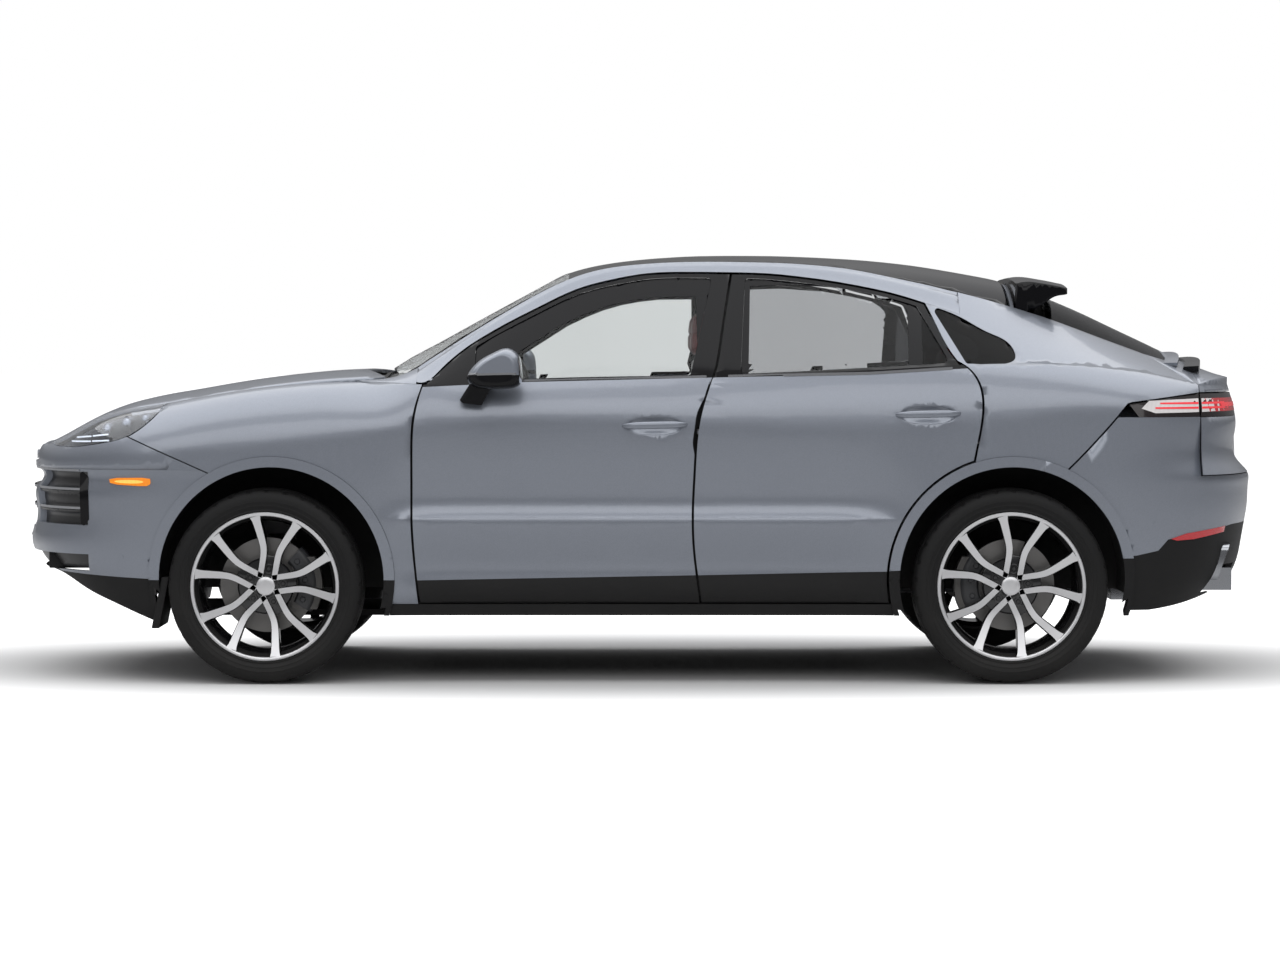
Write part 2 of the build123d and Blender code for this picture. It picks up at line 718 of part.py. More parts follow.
def make_wing():
    """Front wing: from the headlamp to the door, open round the arch."""
    high = spread(-2060, FRONT_DOOR_X - SHUT_GAP / 2 + 50, 14)
    wall = side_wall(high, always(310), edge_z, PANEL)
    half = SHUT_GAP / 2
    behind = side_prism([
        line_points(front_shut, spread(250, 1290, 9), -half),
        [(-700, 1290), (-700, 250)],
    ], 500)
    gap = PANEL_GAP / 2
    below = side_prism([
        [(x, z + gap) for x, z in WING_SEAM], [(-2150, 1030 + gap), (-2150, 250)],
        [(-2150, 250), (-1600, 250)], [(-1600, 250), (-1600, 788 + gap)],
    ], 500)
    wall = wall - behind - lamp_prism(LAMP_GAP) - below - bonnet_space()
    wall -= arch_cutter(FRONT_AXLE_X, FRONT_ARCH_SHIFT, FLARE_RADIUS + FLARE_GAP)
    return keep_largest(wall)


def make_headlamp():
    body = side_wall(spread(-2400, -1840, 14), always(900), lambda x: edge_z(x) - 1, LAMP_DEPTH)
    return keep_largest((body & lamp_prism(0.0)) - bonnet_space())


BUMPER_HEIGHTS = [205, 270, 335, 400, 470, 540, 611, 680, 750, BUMPER_TOP]
WING_SEAM = [(-1600, 788), (-1993, 962), (-2150, 1030)]  # bumper below, wing above


def above_seam(gap):
    """Everything over the seam between bumper and wing, raised by gap."""
    return side_prism([
        [(x, z + gap) for x, z in WING_SEAM], [(-2150, 1030 + gap), (-2150, 1300)],
        [(-2150, 1300), (-1400, 1300)], [(-1400, 1300), (-1400, 700 + gap)],
        [(-1400, 700 + gap), (-1600, 788 + gap)],
    ], 300)


def bonnet_space():
    """The space of the bonnet with its gap, which fixed panels keep clear of."""
    high = 40
    return crown_plate(
        spread(-2445, -985, 20), centre_z, lambda x: bonnet_y(x) - 0.5,
        lambda x: edge_z(x) + bonnet_rise(x), BONNET_THICKNESS + BONNET_GAP + high, 2.3, -high,
    )


def make_front_bumper():
    """Bumper cover: the wrapped nose with its intakes, up to the nose panels."""
    cover = wrap_wall(BUMPER_HEIGHTS, nose_reach, -1560, -1, BUMPER_WALL)
    for side in (-1, 1):
        cover -= arch_prism(FRONT_AXLE_X, FRONT_ARCH_SHIFT, side)
        y0, y1 = sorted((side * 540, side * 1100))
        cover -= box(-2600, -2150, y0, y1, 614, 822)
    above = above_seam(-PANEL_GAP / 2)
    cover -= box(-2600, -2250, -470, 470, 590, 822)
    cover -= box(-2600, -2150, -1100, 1100, 434, 500)
    cover = cover - above - other_side(above)
    return keep_largest(cover - under_nose())


def make_nose_panel():
    """Band of the bumper below one headlamp, from the nose to the wing."""
    band = side_wall(spread(NOSE_JOINT, -1660, 20), always(BUMPER_TOP + 0.5), edge_z, PANEL)
    above = above_seam(-PANEL_GAP / 2) + bonnet_space()
    band -= arch_cutter(FRONT_AXLE_X, FRONT_ARCH_SHIFT, FLARE_RADIUS + FLARE_GAP)
    return keep_largest(band - lamp_prism(LAMP_GAP / 2) - above)


def make_nose_strip():
    heights = [BUMPER_TOP + 0.5, 837, 842, 847, NOSE_TOP]
    strip = wrap_wall(heights, nose_reach, -1560, -1, BUMPER_WALL)
    return keep_largest(strip - box(NOSE_JOINT - 1, -1500, -1100, 1100, 800, 1000) - bonnet_space())


def arch_prism(axle_x, shift, side):
    y0, y1 = sorted((side * 500, side * 1300))
    return across(axle_x + shift[0], TYRE_RADIUS + shift[1], y0, y1, FLARE_RADIUS + FLARE_GAP)


def under_nose():
    """The space below the bumper's rising lower edge."""
    return Pos(0, -1300, 0) * side_prism([
        [(-2700, 432), (-2405, 432), (-2290, 424), (-2184, 369), (-2049, 311), (-1888, 243), (-1400, 200)],
        [(-1400, 100), (-2700, 100)],
    ], 0, 2600)


def make_bonnet():
    """Bonnet skin, its rear corners drawn in round the hinges."""
    plate = crown_plate(
        spread(-2440, -985, 20), centre_z, lambda x: bonnet_y(x) - BONNET_GAP,
        lambda x: edge_z(x) + bonnet_rise(x), BONNET_THICKNESS,
    )
    rear = plan_prism([
        [(-985, 830), (-1010, 700), (-1062, 450), (-1096, 200), (-1103, 0), (-1096, -200),
         (-1062, -450), (-1010, -700), (-985, -830)],
        [(-900, -830), (-900, 830)],
    ], 1000, 1400)
    lid = keep_largest(plate - rear)
    for y in (-BONNET_HINGE_Y, BONNET_HINGE_Y):
        lid += hinge_sleeve(
            BONNET_HINGE, y, (-1030, BONNET_HINGE[1] - 8), BONNET_HINGE[1] - 1
        ) + box(
            -1034, -1018, y - 8, y + 8, BONNET_HINGE[1] - 8, BONNET_HINGE[1] + 14
        )
    return keep_largest(lid)


bonnet_rise = through((-2440, 0), (-1327, 2), (-1171, 7), (-1053, 14), (-985, 22))


def make_roof_rail():
    """A-pillar and cant rail, from the bonnet's corner to behind the rear door."""
    pillar_foot = glass_wall(
        spread(-1088, -868.3, 7), lambda x: min(edge_z(x) + 0.9, rail_z(x) - 4), rail_z,
        RAIL_FOOT_WIDTH,
    )
    rail = rail_wall(
        spread(-868, RAIL_REAR, 24), lambda x: max(band_low(x), edge_z(x) + RAIL_GAP)
    )
    return [pillar_foot, rail]


def hatch_half(x):
    return hatch_line(x) if x > 1985 else rail_y(x) - RAIL_WIDTH - PANEL_GAP / 2


hatch_line = through(
    (1985, 537), (2040, 590), (2100, 668), (2150, 738), (2187, 788), (2230, 800), (2375, 800)
)


def hatch_edge(x):
    """Height of the body side at the tailgate's side edge."""
    if x <= 1985:
        return rail_z(x)
    share = min((x - 1985) / (HATCH_SIDE_X - 1985), 1)
    return rail_z(1985) * (1 - share) + 1158 * share + 18 * share * (1 - share)


def make_quarter_panel():
    """Rear quarter: body side, shoulder and rear pillar, with the fixed window cut."""
    half = SHUT_GAP / 2
    low = side_wall(spread(1240, HATCH_SIDE_X - 2, 16), always(720), edge_z, PANEL)
    high = glass_wall(
        spread(1100, HATCH_SIDE_X - 2, 18), lambda x: edge_z(x) - 12, rail_z, RAIL_WIDTH,
    )
    ahead = side_prism([
        line_points(rear_shut, spread(DOOR_BOTTOM, 1260 - half, 9), half),
        line_points(rear_shut, spread(1266, 1700, 6), FRAME_GAP / 2),
        [(900, 1700), (900, DOOR_BOTTOM)],
    ], 400)
    gap = PANEL_GAP / 2
    below = side_prism([
        [(x - gap, z + gap) for x, z in quarter_seam], [(1905, 1093 + gap), (2250, 1140)],
        [(2250, 500), (1500, 500)],
    ], 400)
    hatch = plan_prism([
        [(x, hatch_line(x) + PANEL_GAP) for x in spread(1985, HATCH_SIDE_X, 6)],
        [(2300, 860), (2300, 0), (1985, 0)],
    ], 1000, 1500)
    rail = side_prism([
        top_points(lambda x: band_low(x) - 0.5, spread(1040, RAIL_REAR + 0.5, 5)),
        [(RAIL_REAR + 0.5, 1800), (1040, 1800)],
    ], 400)
    low = keep_largest(low - ahead - below - arch_cutter(REAR_AXLE_X, REAR_ARCH_SHIFT, FLARE_RADIUS + FLARE_GAP))
    high = high - ahead - rail - side_prism(quarter_window(), 400, round_by=14)
    return keep_largest((low + keep_largest(high)) - hatch)


def quarter_window():
    return [[
        (1272, 1243), (1330, 1241), (1421, 1243), (1462, 1262), (1456, 1306), (1365, 1366),
        (1275, 1418), (1146, 1470),
    ]]


def make_quarter_glass():
    sheet = glass_wall(
        spread(1120, 1480, 8), lambda x: edge_z(x) - 10, lambda x: rail_z(x) - 4, GLASS,
        -GLASS_INSET,
    )
    pane = side_prism(drawn_in(quarter_window(), GLASS_GAP), 400, round_by=14)
    return keep_largest(sheet & pane)


def make_rear_bumper():
    heights = [285, 360, 430, 520, 611, 700, 765, 812, 850, 892, 950, 1010, TAIL_LAMP_LOW]
    cover = wrap_wall(heights, tail_reach, 1600, 1, BUMPER_WALL)
    gap = PANEL_GAP / 2
    for side in (-1, 1):
        cover -= arch_prism(REAR_AXLE_X, REAR_ARCH_SHIFT, side)
    ahead = side_prism([
        [(x + gap, z - gap) for x, z in quarter_seam], [(1926, TAIL_LAMP_LOW + 60)],
        [(1926, 1300), (1500, 1300), (1500, 700)],
    ], 0, 2600)
    cover -= Pos(0, -1300, 0) * ahead
    cover -= box(HATCH_SIDE_X, 2600, -1100, 1100, HATCH_BOTTOM, 1200)
    cover -= Pos(0, -1300, 0) * side_prism([
        [(2700, 420), (2290, 352), (2131, 309), (1860, 275), (1500, 262)],
        [(1500, 100), (2700, 100)],
    ], 0, 2600)
    cover -= box(2150, 2600, -745, -555, 340, 452) + box(2150, 2600, 555, 745, 340, 452)
    return keep_largest(cover)


def tail_lamp_ring(lift):
    heights = spread(TAIL_LAMP_LOW + 0.5, TAIL_LAMP_TOP, 5)
    return wrap_wall(heights, lambda z: tail_reach(z) + lift, 1700, 1, 60, tail_side)


def make_tail_lamps():
    """Outer lamps on the body: a wedge that runs to a point at its front."""
    ring = tail_lamp_ring(0.0)
    keep = side_prism([
        [(1898, 1086), (1935, TAIL_LAMP_LOW)], [(HATCH_SIDE_X - 3, TAIL_LAMP_LOW)],
        [(HATCH_SIDE_X - 3, 1128), (2100, 1115)],
    ], 0, 1300)
    return keep_largest(ring & keep)


def pane_half(x):
    """Half width of the rear window, which laps its frame out to the rails."""
    return rail_y(x) - RAIL_WIDTH - PANEL_GAP / 2 - 1 if x < 1985 else 536


def make_tailgate():
    """Tailgate: screen frame, deck and rear face in one."""
    plate = crown_plate(
        spread(HATCH_FRONT, 2375, 26), screen_z, hatch_half, hatch_edge, HATCH_THICKNESS
    )
    plate &= tail_plan(1158, 0.5) + box(HATCH_FRONT - 10, 1760, -900, 900, 1000, 1700)
    plate -= pane_plate(GLASS + SEAT + 20, -20)
    opening = plan_prism([
        [(1610, 0), (1612, 250), (1622, 455)], [(1900, 452), (2050, 446)],
        [(2066, 240), (2070, 0), (2066, -240)], [(2050, -446), (1900, -452)],
        [(1622, -455), (1612, -250), (1610, 0)],
    ], 1000, 1800)
    plate -= opening
    heights = [HATCH_BOTTOM + 5, 850, 892, 950, 1010, TAIL_LAMP_LOW - 2]
    face = wrap_wall(heights, tail_reach, 1700, 1, 50, tail_side)
    behind = wrap_wall(
        [HATCH_BOTTOM + 24, 892, 950, 1010, 1080, 1140, 1200, 1240], tail_reach, 1700, 1, 30,
        tail_side, 42,
    )
    brow = wrap_wall([TAIL_LAMP_TOP, 1150, 1175, 1200, 1220], tail_reach, 1700, 1, 50, tail_side)
    ahead = box(1600, HATCH_SIDE_X + 4, -1100, 1100, 700, 1300)
    above = crown_plate(
        spread(2150, 2480, 8), screen_z, always(900), hatch_edge, 150, 2.3, 12 - 150
    )
    gate = keep_largest(plate) + ((behind - ahead) - above) + ((brow - ahead) - above)
    gate += face - ahead
    for y in HATCH_HINGES:
        gate -= box(HATCH_FRONT - 5, TAILGATE_HINGE[0] + 14, y - 18, y + 18, 1500, 1600)
        gate += hinge_sleeve(
            TAILGATE_HINGE, y, (TAILGATE_HINGE[0] + 18, TAILGATE_HINGE[1] - 16),
            TAILGATE_HINGE[1] - 6,
        )
    return keep_largest(gate)


def hinge_sleeve(axis, y, web_to, web_top):
    """Sleeve about a cross axis at y, with a web to a point (x, z) on its lid."""
    x, z = axis
    sleeve = across(x, z, y - 8, y + 8, KNUCKLE_RADIUS)
    x0, x1 = sorted((x, web_to[0]))
    sleeve += box(x0, x1, y - 8, y + 8, web_to[1], web_top)
    return sleeve - across(x, z, y - 12, y + 12, PIN_RADIUS + PIN_CLEARANCE)


def hinge_fork(axis, y, seat):
    """Pin across the vehicle with an eye each side, on arms to seat, an (x, z) box range."""
    x, z = axis
    shape = across(x, z, y - 14, y + 14, PIN_RADIUS)
    for side in (-1, 1):
        y0, y1 = sorted((y + side * 8.5, y + side * 14))
        shape += across(x, z, y0, y1, KNUCKLE_RADIUS)
        shape += box(*sorted((seat[0], x)), y0, y1, seat[1], seat[2])
    return keep_largest(shape)


def pane_plate(depth, drop):
    """Plate on the tailgate's surface over the whole recess of the rear window."""
    return crown_plate(
        spread(HATCH_FRONT - 10, PANE_REAR, 16), screen_z, lambda x: pane_half(x) + 4,
        lambda x: rail_z(x) - 1, depth, 2.3, drop,
    )


def make_rear_window():
    places = spread(HATCH_FRONT + 14, PANE_REAR - 3, 9)
    rim = [[(x, pane_half(x)) for x in places], [(x, -pane_half(x)) for x in places[::-1]]]
    return pane_plate(GLASS, 0) & plan_prism(rim, 1000, 1800)


def make_lamp_bar():
    """Lamp strip across the tailgate."""
    bar = wrap_wall(spread(TAIL_LAMP_LOW, TAIL_LAMP_TOP - 6, 5), tail_reach, 1700, 1, 40, tail_side)
    return bar - box(1600, HATCH_SIDE_X + 4, -1100, 1100, 700, 1300)


def make_roof_spoiler():
    """Fixed wing over the head of the rear window."""
    wires = []
    for x in (1494, 1512, 1535, 1560, 1600, 1640, 1675, 1700):
        top = spoiler_top(x)
        wide = 548 - (x - 1494) * 0.05
        upper = [(x, y, top - 26 * abs(y / wide) ** 2.6) for y in spread(-wide, wide, 15)]
        lower = []
        for _, y, z in upper[::-1]:
            share = abs(y / (pane_half(x) + 4))
            glass = screen_z(x) - (screen_z(x) - rail_z(x) + 1) * share**2.3
            lower.append((x, y, min(max(glass - 10, z - spoiler_depth(x)), z - 6)))
        wires.append(wire_of([upper, [upper[-1], lower[0]], lower, [lower[-1], upper[0]]]))
    return keep_largest(Solid.make_loft(wires) - pane_plate(60, -SEAT))


spoiler_top = through((1494, 1584), (1512, 1589), (1535, 1592), (1600, 1585), (1700, 1566))
spoiler_depth = through((1494, 120), (1560, 110), (1600, 84), (1640, 50), (1700, 22))


def tail_plan(z, inside):
    """Solid column over the tail's plan shape at one height, a little inside it."""
    wide = side_line(TAIL_START) - plain(z) - tail_side(z) - inside
    reach = tail_reach(z) - inside
    rim = []
    for i in range(31):
        angle = -pi / 2 + pi * i / 30
        along = reach * cos(angle) ** (2 / TAIL_POWER) if 0 < i < 30 else 0.0
        rim.append((TAIL_START + along, wide * abs(sin(angle)) ** (2 / TAIL_POWER) * (1 if i > 15 else -1)))
    return plan_prism([rim, [(1500, wide), (1500, -wide)]], 900, 1500)


def make_windscreen():
    """Windscreen, its foot curved back towards the pillars."""
    glass = crown_plate(
        spread(-998, -279.5, 12), screen_z,
        lambda x: rail_y(x) - rail_width(x) - ROOF_SIDE_GAP, lambda x: rail_z(x) - 1, 6,
    )
    foot = plan_prism([
        [(-1100, 900), (-1100, -900)], [(-1100, -900), (-934, -900)],
        [(-934, -900), (-945, -740), (-975, -480), (-992, -200), (-996, 0), (-992, 200),
         (-975, 480), (-945, 740), (-934, 900)],
        [(-934, 900), (-1100, 900)],
    ], 1100, 1400)
    return keep_largest(glass - foot)


def make_roof():
    return crown_plate(
        spread(-279, ROOF_REAR, 20), screen_z, lambda x: rail_y(x) - RAIL_WIDTH - ROOF_SIDE_GAP,
        lambda x: rail_z(x) - 1, ROOF_THICKNESS,
    )


# --- body structure -----------------------------------------------------------------------
CABIN_HALF = 760.0
FLOOR_THICK = 24.0
TUNNEL_HALF = 150.0
HEEL_X = 1010.0
FIREWALL_X = -960.0
REAR_PANEL_X = 2290.0
WHEELHOUSE_INNER_Y = 560.0
LINER_INNER_RADIUS = 452.0
LINER_WALL = 6.0
FLARE_INNER_Y = 935.0
RAIL_Y = 400.0
RAIL_THICK = 70.0
FRONT_LINER_Y = RAIL_Y + RAIL_THICK  # inboard wall of the front wheelhouses
COWL_HALF = 757.0
COWL_THICKNESS = 14.0
SILL_BOX_TOP = 338.0
ROOF_SIDE_GAP = 0.6
SEAT = 0.3  # gap left where one fixed piece sits on another


def make_floor():
    """Floor pan with its tunnel, heel board and load floor."""
    low, top = FLOOR_Z - FLOOR_THICK, FLOOR_Z
    pan = box(FIREWALL_X, HEEL_X, -CABIN_HALF, CABIN_HALF, low, top)
    pan -= box(FIREWALL_X - 1, HEEL_X - 60, -TUNNEL_HALF + 20, TUNNEL_HALF - 20, low - 1, top + 1)
    for side in (-1, 1):
        y0, y1 = sorted((side * (TUNNEL_HALF - 20), side * TUNNEL_HALF))
        pan += box(FIREWALL_X, HEEL_X, y0, y1, low, 430)
    pan += box(FIREWALL_X, HEEL_X, -TUNNEL_HALF, TUNNEL_HALF, 430, 450)
    pan += box(HEEL_X - 20, HEEL_X, -WHEELHOUSE_INNER_Y, WHEELHOUSE_INNER_Y, low, LOAD_FLOOR_Z)
    pan -= box(HEEL_X - 70, HEEL_X + 1, -TUNNEL_HALF + 20, TUNNEL_HALF - 20, low - 1, 400)
    load_top = LOAD_FLOOR_Z
    pan += box(
        HEEL_X - 20, REAR_PANEL_X, -WHEELHOUSE_INNER_Y, WHEELHOUSE_INNER_Y,
        load_top - FLOOR_THICK, load_top,
    )
    return pan + box(REAR_PANEL_X - 30, REAR_PANEL_X, -670, 670, load_top - FLOOR_THICK, 760)


def make_firewall():
    """Bulkhead between engine bay and cabin, with the cowl panel on its head."""
    half = COWL_HALF
    wall = box(FIREWALL_X - 30, FIREWALL_X, -half, half, FLOOR_Z - FLOOR_THICK, 1250)
    edge = lambda x: cowl_z(x) - 52
    wall -= crown_plate(
        spread(-1140, -935, 6), cowl_z, always(half), edge, 300, 2.3, COWL_THICKNESS / 2 - 300
    )
    for side in (-1, 1):
        y0, y1 = sorted((side * (FRONT_LINER_Y - 0.4), side * 1000))
        wall -= across(
            FRONT_AXLE_X + FRONT_ARCH_SHIFT[0], TYRE_RADIUS + FRONT_ARCH_SHIFT[1], y0, y1,
            LINER_INNER_RADIUS + LINER_WALL + 0.4,
        )
    cowl = crown_plate(spread(-1140, -935, 6), cowl_z, always(half), edge, COWL_THICKNESS)
    return keep_largest(wall + cowl)


cowl_z = through((-1140, 1180), (-1050, 1190), (-1000, 1196), (-935, 1206))


def make_pillars():
    """Front hinge pillar and centre pillar of one side, inboard of the door skins."""
    front = box(-915, FRONT_HINGE_X + 2, 800, PILLAR_Y - 6, SILL_BOX_TOP, 1150)
    half = INNER_MARGIN - 7
    centre = side_prism([
        line_points(middle_shut, spread(1165, SILL_BOX_TOP, 9), -half),
        line_points(middle_shut, spread(SILL_BOX_TOP, 1165, 9), half),
    ], 800, PILLAR_Y - 6)
    top = []
    head = rail_z(middle_shut(1600)) + 10
    for z, width in ((1150, half), (1300, 34), (1450, 34), (head, 34)):
        x = middle_shut(z)
        y = glass_half(x, max(z, edge_z(x))) - 62
        top.append(Wire(Polyline(
            (x - width, y - 40, z), (x + width, y - 40, z), (x + width, y, z),
            (x - width, y, z), close=True,
        ).edges()))
    upper = Solid.make_loft(top, ruled=True) - crown_plate(
        spread(150, 560, 6), screen_z, lambda x: rail_y(x) - RAIL_WIDTH - ROOF_SIDE_GAP,
        lambda x: rail_z(x) - 1, 200, 2.3, ROOF_THICKNESS + SEAT - 200,
    )
    return front, keep_largest(centre + upper)


def make_sill():
    """Sill with its outer cover, under both doors."""
    xs = spread(-1030, 1010, 12)
    cover = side_wall(xs, always(SILL_BOTTOM), always(SILL_TOP), 60)
    for axle_x, shift in ((FRONT_AXLE_X, FRONT_ARCH_SHIFT), (REAR_AXLE_X, REAR_ARCH_SHIFT)):
        cover -= arch_cutter(axle_x, shift, FLARE_RADIUS + FLARE_GAP)
    inner = box(FIREWALL_X + 15, 940, CABIN_HALF + SEAT, 868, SILL_BOTTOM + 10, SILL_BOX_TOP)
    return keep_largest(cover + inner)


def make_wheelhouse(axle_x, shift, inner_y, wall, link_window):
    """Liner over one wheel: a half shell, closed inboard by a wall."""
    x, z = axle_x + shift[0], TYRE_RADIUS + shift[1]
    outer_y = FLARE_INNER_Y
    shell = across(x, z, inner_y, outer_y, LINER_INNER_RADIUS + LINER_WALL)
    shell -= across(x, z, inner_y + wall, outer_y + 10, LINER_INNER_RADIUS)
    shell -= box(axle_x - 80, axle_x + 80, inner_y - 1, inner_y + wall + 1, *link_window)
    return keep_largest(shell - box(x - 600, x + 600, 0, 1200, 0, z - 60))


def make_front_rails():
    """Front chassis legs with the bumper beam and a cross-member under the engine."""
    leg = box(-2250, FIREWALL_X - 31, RAIL_Y, RAIL_Y + RAIL_THICK, 440, 540)
    frame = leg + other_side(leg)
    frame += box(-2330, -2250, -540, 540, 470, 570)
    frame += box(-1560, -1340, -RAIL_Y, RAIL_Y, 250, 300)
    for side in (-1, 1):
        y0, y1 = sorted((side * (RAIL_Y - 10), side * (RAIL_Y + 30)))
        frame += box(-1500, -1400, y0, y1, 250, 445)
    beam = box(-2200, -2150, -780, 780, 860, 884)
    for side in (-1, 1):
        y0, y1 = sorted((side * (RAIL_Y + 10), side * (RAIL_Y + 50)))
        beam += box(-2200, -2150, y0, y1, 530, 870)
        y0, y1 = sorted((side * 735, side * 780))
        beam += box(-2200, -2150, y0, y1, 870, 960)
    lamps = lamp_prism(SEAT)
    return frame + (beam - lamps - other_side(lamps))


def make_rear_rails():
    leg = box(HEEL_X + 2, REAR_PANEL_X, 430, 500, 430, LOAD_FLOOR_Z - FLOOR_THICK)
    frame = leg + other_side(leg)
    frame += box(REAR_PANEL_X - 40, REAR_PANEL_X + 25, -520, 520, 452, 520)
    frame += box(1340, 1540, -500, 500, 250, 300)
    for side in (-1, 1):
        y0, y1 = sorted((side * 440, side * 490))
        frame += box(1400, 1480, y0, y1, 250, 435)
    return frame


def make_engine():
    block = box(-1990, -1150, -260, 260, 400, 960)
    for side in (-1, 1):
        y0, y1 = sorted((side * 250, side * RAIL_Y))
        block += box(-1620, -1540, y0, y1, 460, 520)
    return block


def make_flare(axle_x, shift):
    """Arch flare: a lip round the wheel opening, proud of the body side."""
    x, z = axle_x + shift[0], TYRE_RADIUS + shift[1]
    reach = FLARE_RADIUS + 12
    wall = side_wall(
        spread(x - reach, x + reach, 16), always(SILL_BOTTOM), always(z + reach), FLARE_DEPTH,
        FLARE_LIFT,
    )
    hoop = across(x, z, 700, 1300, FLARE_RADIUS) - across(x, z, 690, 1310, ARCH_RADIUS)
    liner = across(x, z, 600, FLARE_INNER_Y + SEAT, LINER_INNER_RADIUS + LINER_WALL + SEAT)
    return keep_largest((wall & hoop) - liner)


def make_dashboard():
    """Dashboard: a long moulding across the cabin below the windscreen."""
    wires = []
    for y, shrink in ((-715, 20), (-700, 0), (0, 0), (700, 0), (715, 20)):
        wires.append(wire_of([
            [(-905, y, 1060 - shrink), (-800, y, 1118 - shrink), (-690, y, 1126 - shrink),
             (-590, y, 1085 - shrink), (-560, y, 1010), (-600, y, 900 + shrink)],
            [(-600, y, 900 + shrink), (-640, y, 760 + shrink)],
            [(-640, y, 760 + shrink), (-905, y, 720 + shrink)],
            [(-905, y, 720 + shrink), (-905, y, 1060 - shrink)],
        ]))
    dash = Solid.make_loft(wires, ruled=True)
    console = box(-640, 240, -TUNNEL_HALF + 15, TUNNEL_HALF - 15, 451, 690)
    console += box(-720, -600, -TUNNEL_HALF + 15, TUNNEL_HALF - 15, 600, 800)
    bracket = box(FIREWALL_X, -880, -600, 600, 900, 960)
    tube = steering_plane() * (Pos(0, 0, -150) * Cylinder(COLUMN_TUBE_RADIUS + SEAT, 300))
    return keep_largest(dash + console + bracket - tube)


STEERING_CENTRE = (-425.0, -370.0, 1105.0)
STEERING_RADIUS = 185.0
STEERING_TILT = 24.0
SEAT_Y = 378.0
COLUMN_RADIUS = 16.0
COLUMN_TUBE_RADIUS = 34.0


def steering_plane():
    """Plane of the steering wheel, its normal along the column towards the driver."""
    tilt = radians(STEERING_TILT)
    return Plane(STEERING_CENTRE, x_dir=(0, 1, 0), z_dir=(cos(tilt), 0, sin(tilt)))


def make_steering_wheel():
    place = steering_plane()
    rim = place * Torus(STEERING_RADIUS - 16, 16)
    hub = place * (Pos(0, 0, -8) * Cylinder(62, 44))
    wheel = rim + hub
    for angle in (0, 90, 180):
        spoke = Rot(0, 0, -angle) * (Pos((STEERING_RADIUS - 16) / 2, 0, -4) * Box(STEERING_RADIUS - 18, 40, 14))
        wheel += place * spoke
    shaft = place * (Pos(0, 0, -80) * Cylinder(COLUMN_RADIUS, 120))
    return keep_largest(wheel + shaft)


def make_steering_column():
    place = steering_plane()
    tube = place * (Pos(0, 0, -150) * Cylinder(COLUMN_TUBE_RADIUS, 150))
    tube -= place * (Pos(0, 0, -100) * Cylinder(COLUMN_RADIUS + SPINDLE_CLEARANCE, 101))
    return tube


def make_front_seat():
    """One front seat on its runners: cushion, backrest and headrest."""
    y = SEAT_Y
    base = box(-240, 160, y - 200, y + 200, FLOOR_Z, 470)
    cushion = box(-290, 200, y - 235, y + 235, 470, 640)
    cushion = fillet(cushion.edges().filter_by(Axis.Z), 50)
    back = extrude(make_face(Polyline(
        (120, y - 230, 640), (250, y - 230, 600), (330, y - 230, 1260), (215, y - 230, 1285),
        close=True,
    )), 460, dir=(0, 1, 0))
    head = extrude(make_face(Polyline(
        (228, y - 125, 1282), (322, y - 125, 1262), (336, y - 125, 1440), (238, y - 125, 1450),
        close=True,
    )), 250, dir=(0, 1, 0))
    return base + cushion + back + head


def make_rear_seat():
    """Rear bench on the heel board, with two headrests."""
    cushion = box(600, 1040, -640, 640, 400, 640)
    base = box(640, HEEL_X - 21, -600, 600, FLOOR_Z, 400) - box(
        600, HEEL_X, -TUNNEL_HALF - 2, TUNNEL_HALF + 2, FLOOR_Z - 1, 452
    )
    back = extrude(make_face(Polyline(
        (990, -640, 640), (1110, -640, 590), (1270, -640, 1150), (1170, -640, 1180), close=True,
    )), 1280, dir=(0, 1, 0))
    bench = cushion - box(500, HEEL_X, -TUNNEL_HALF - 2, TUNNEL_HALF + 2, 390, 452) + base + back
    bench -= box(HEEL_X - 22, 1400, -700, 700, 300, LOAD_FLOOR_Z + 1)
    for y in (-370, 370):
        bench += extrude(make_face(Polyline(
            (1175, y - 120, 1170), (1268, y - 120, 1148), (1300, y - 120, 1300),
            (1212, y - 120, 1310), close=True,
        )), 240, dir=(0, 1, 0))
    for side in (-1, 1):
        y0, y1 = sorted((side * (WHEELHOUSE_INNER_Y - 5), side * 700))
        bench -= across(
            REAR_AXLE_X + REAR_ARCH_SHIFT[0], TYRE_RADIUS + REAR_ARCH_SHIFT[1], y0, y1,
            LINER_INNER_RADIUS + LINER_WALL + 5,
        )
    return keep_largest(bench)


def make_undertray():
    """Flat covers below the engine and the cabin's sides."""
    front = box(-1872, -1010, -340, 340, 226, 250)
    side = box(-900, 900, 190, 700, 260, FLOOR_Z - FLOOR_THICK)
    return [front, side, other_side(side)]


def make_exhaust():
    """Exhaust: twin pipes in the tunnel, a cross silencer and two tail tips."""
    pipe = Pos(350, 60, 330 + SEAT) * Rot(0, 90, 0) * Cylinder(30, 1900)
    pipes = pipe + other_side(pipe)
    box_shape = box(1880, 2110, -520, 520, 300, 415)
    link = Pos(1600, 60, 330 + SEAT) * Rot(0, 90, 0) * Cylinder(30, 620)
    whole = pipes + link + other_side(link) + box_shape
    for side in (-1, 1):
        y0, y1 = sorted((side * 400, side * 700))
        whole += box(2090, 2160, y0, y1, 345, 405)
        y0, y1 = sorted((side * 570, side * 730))
        tip = box(2150, 2330, y0, y1, 352, 440)
        whole += tip
    return whole


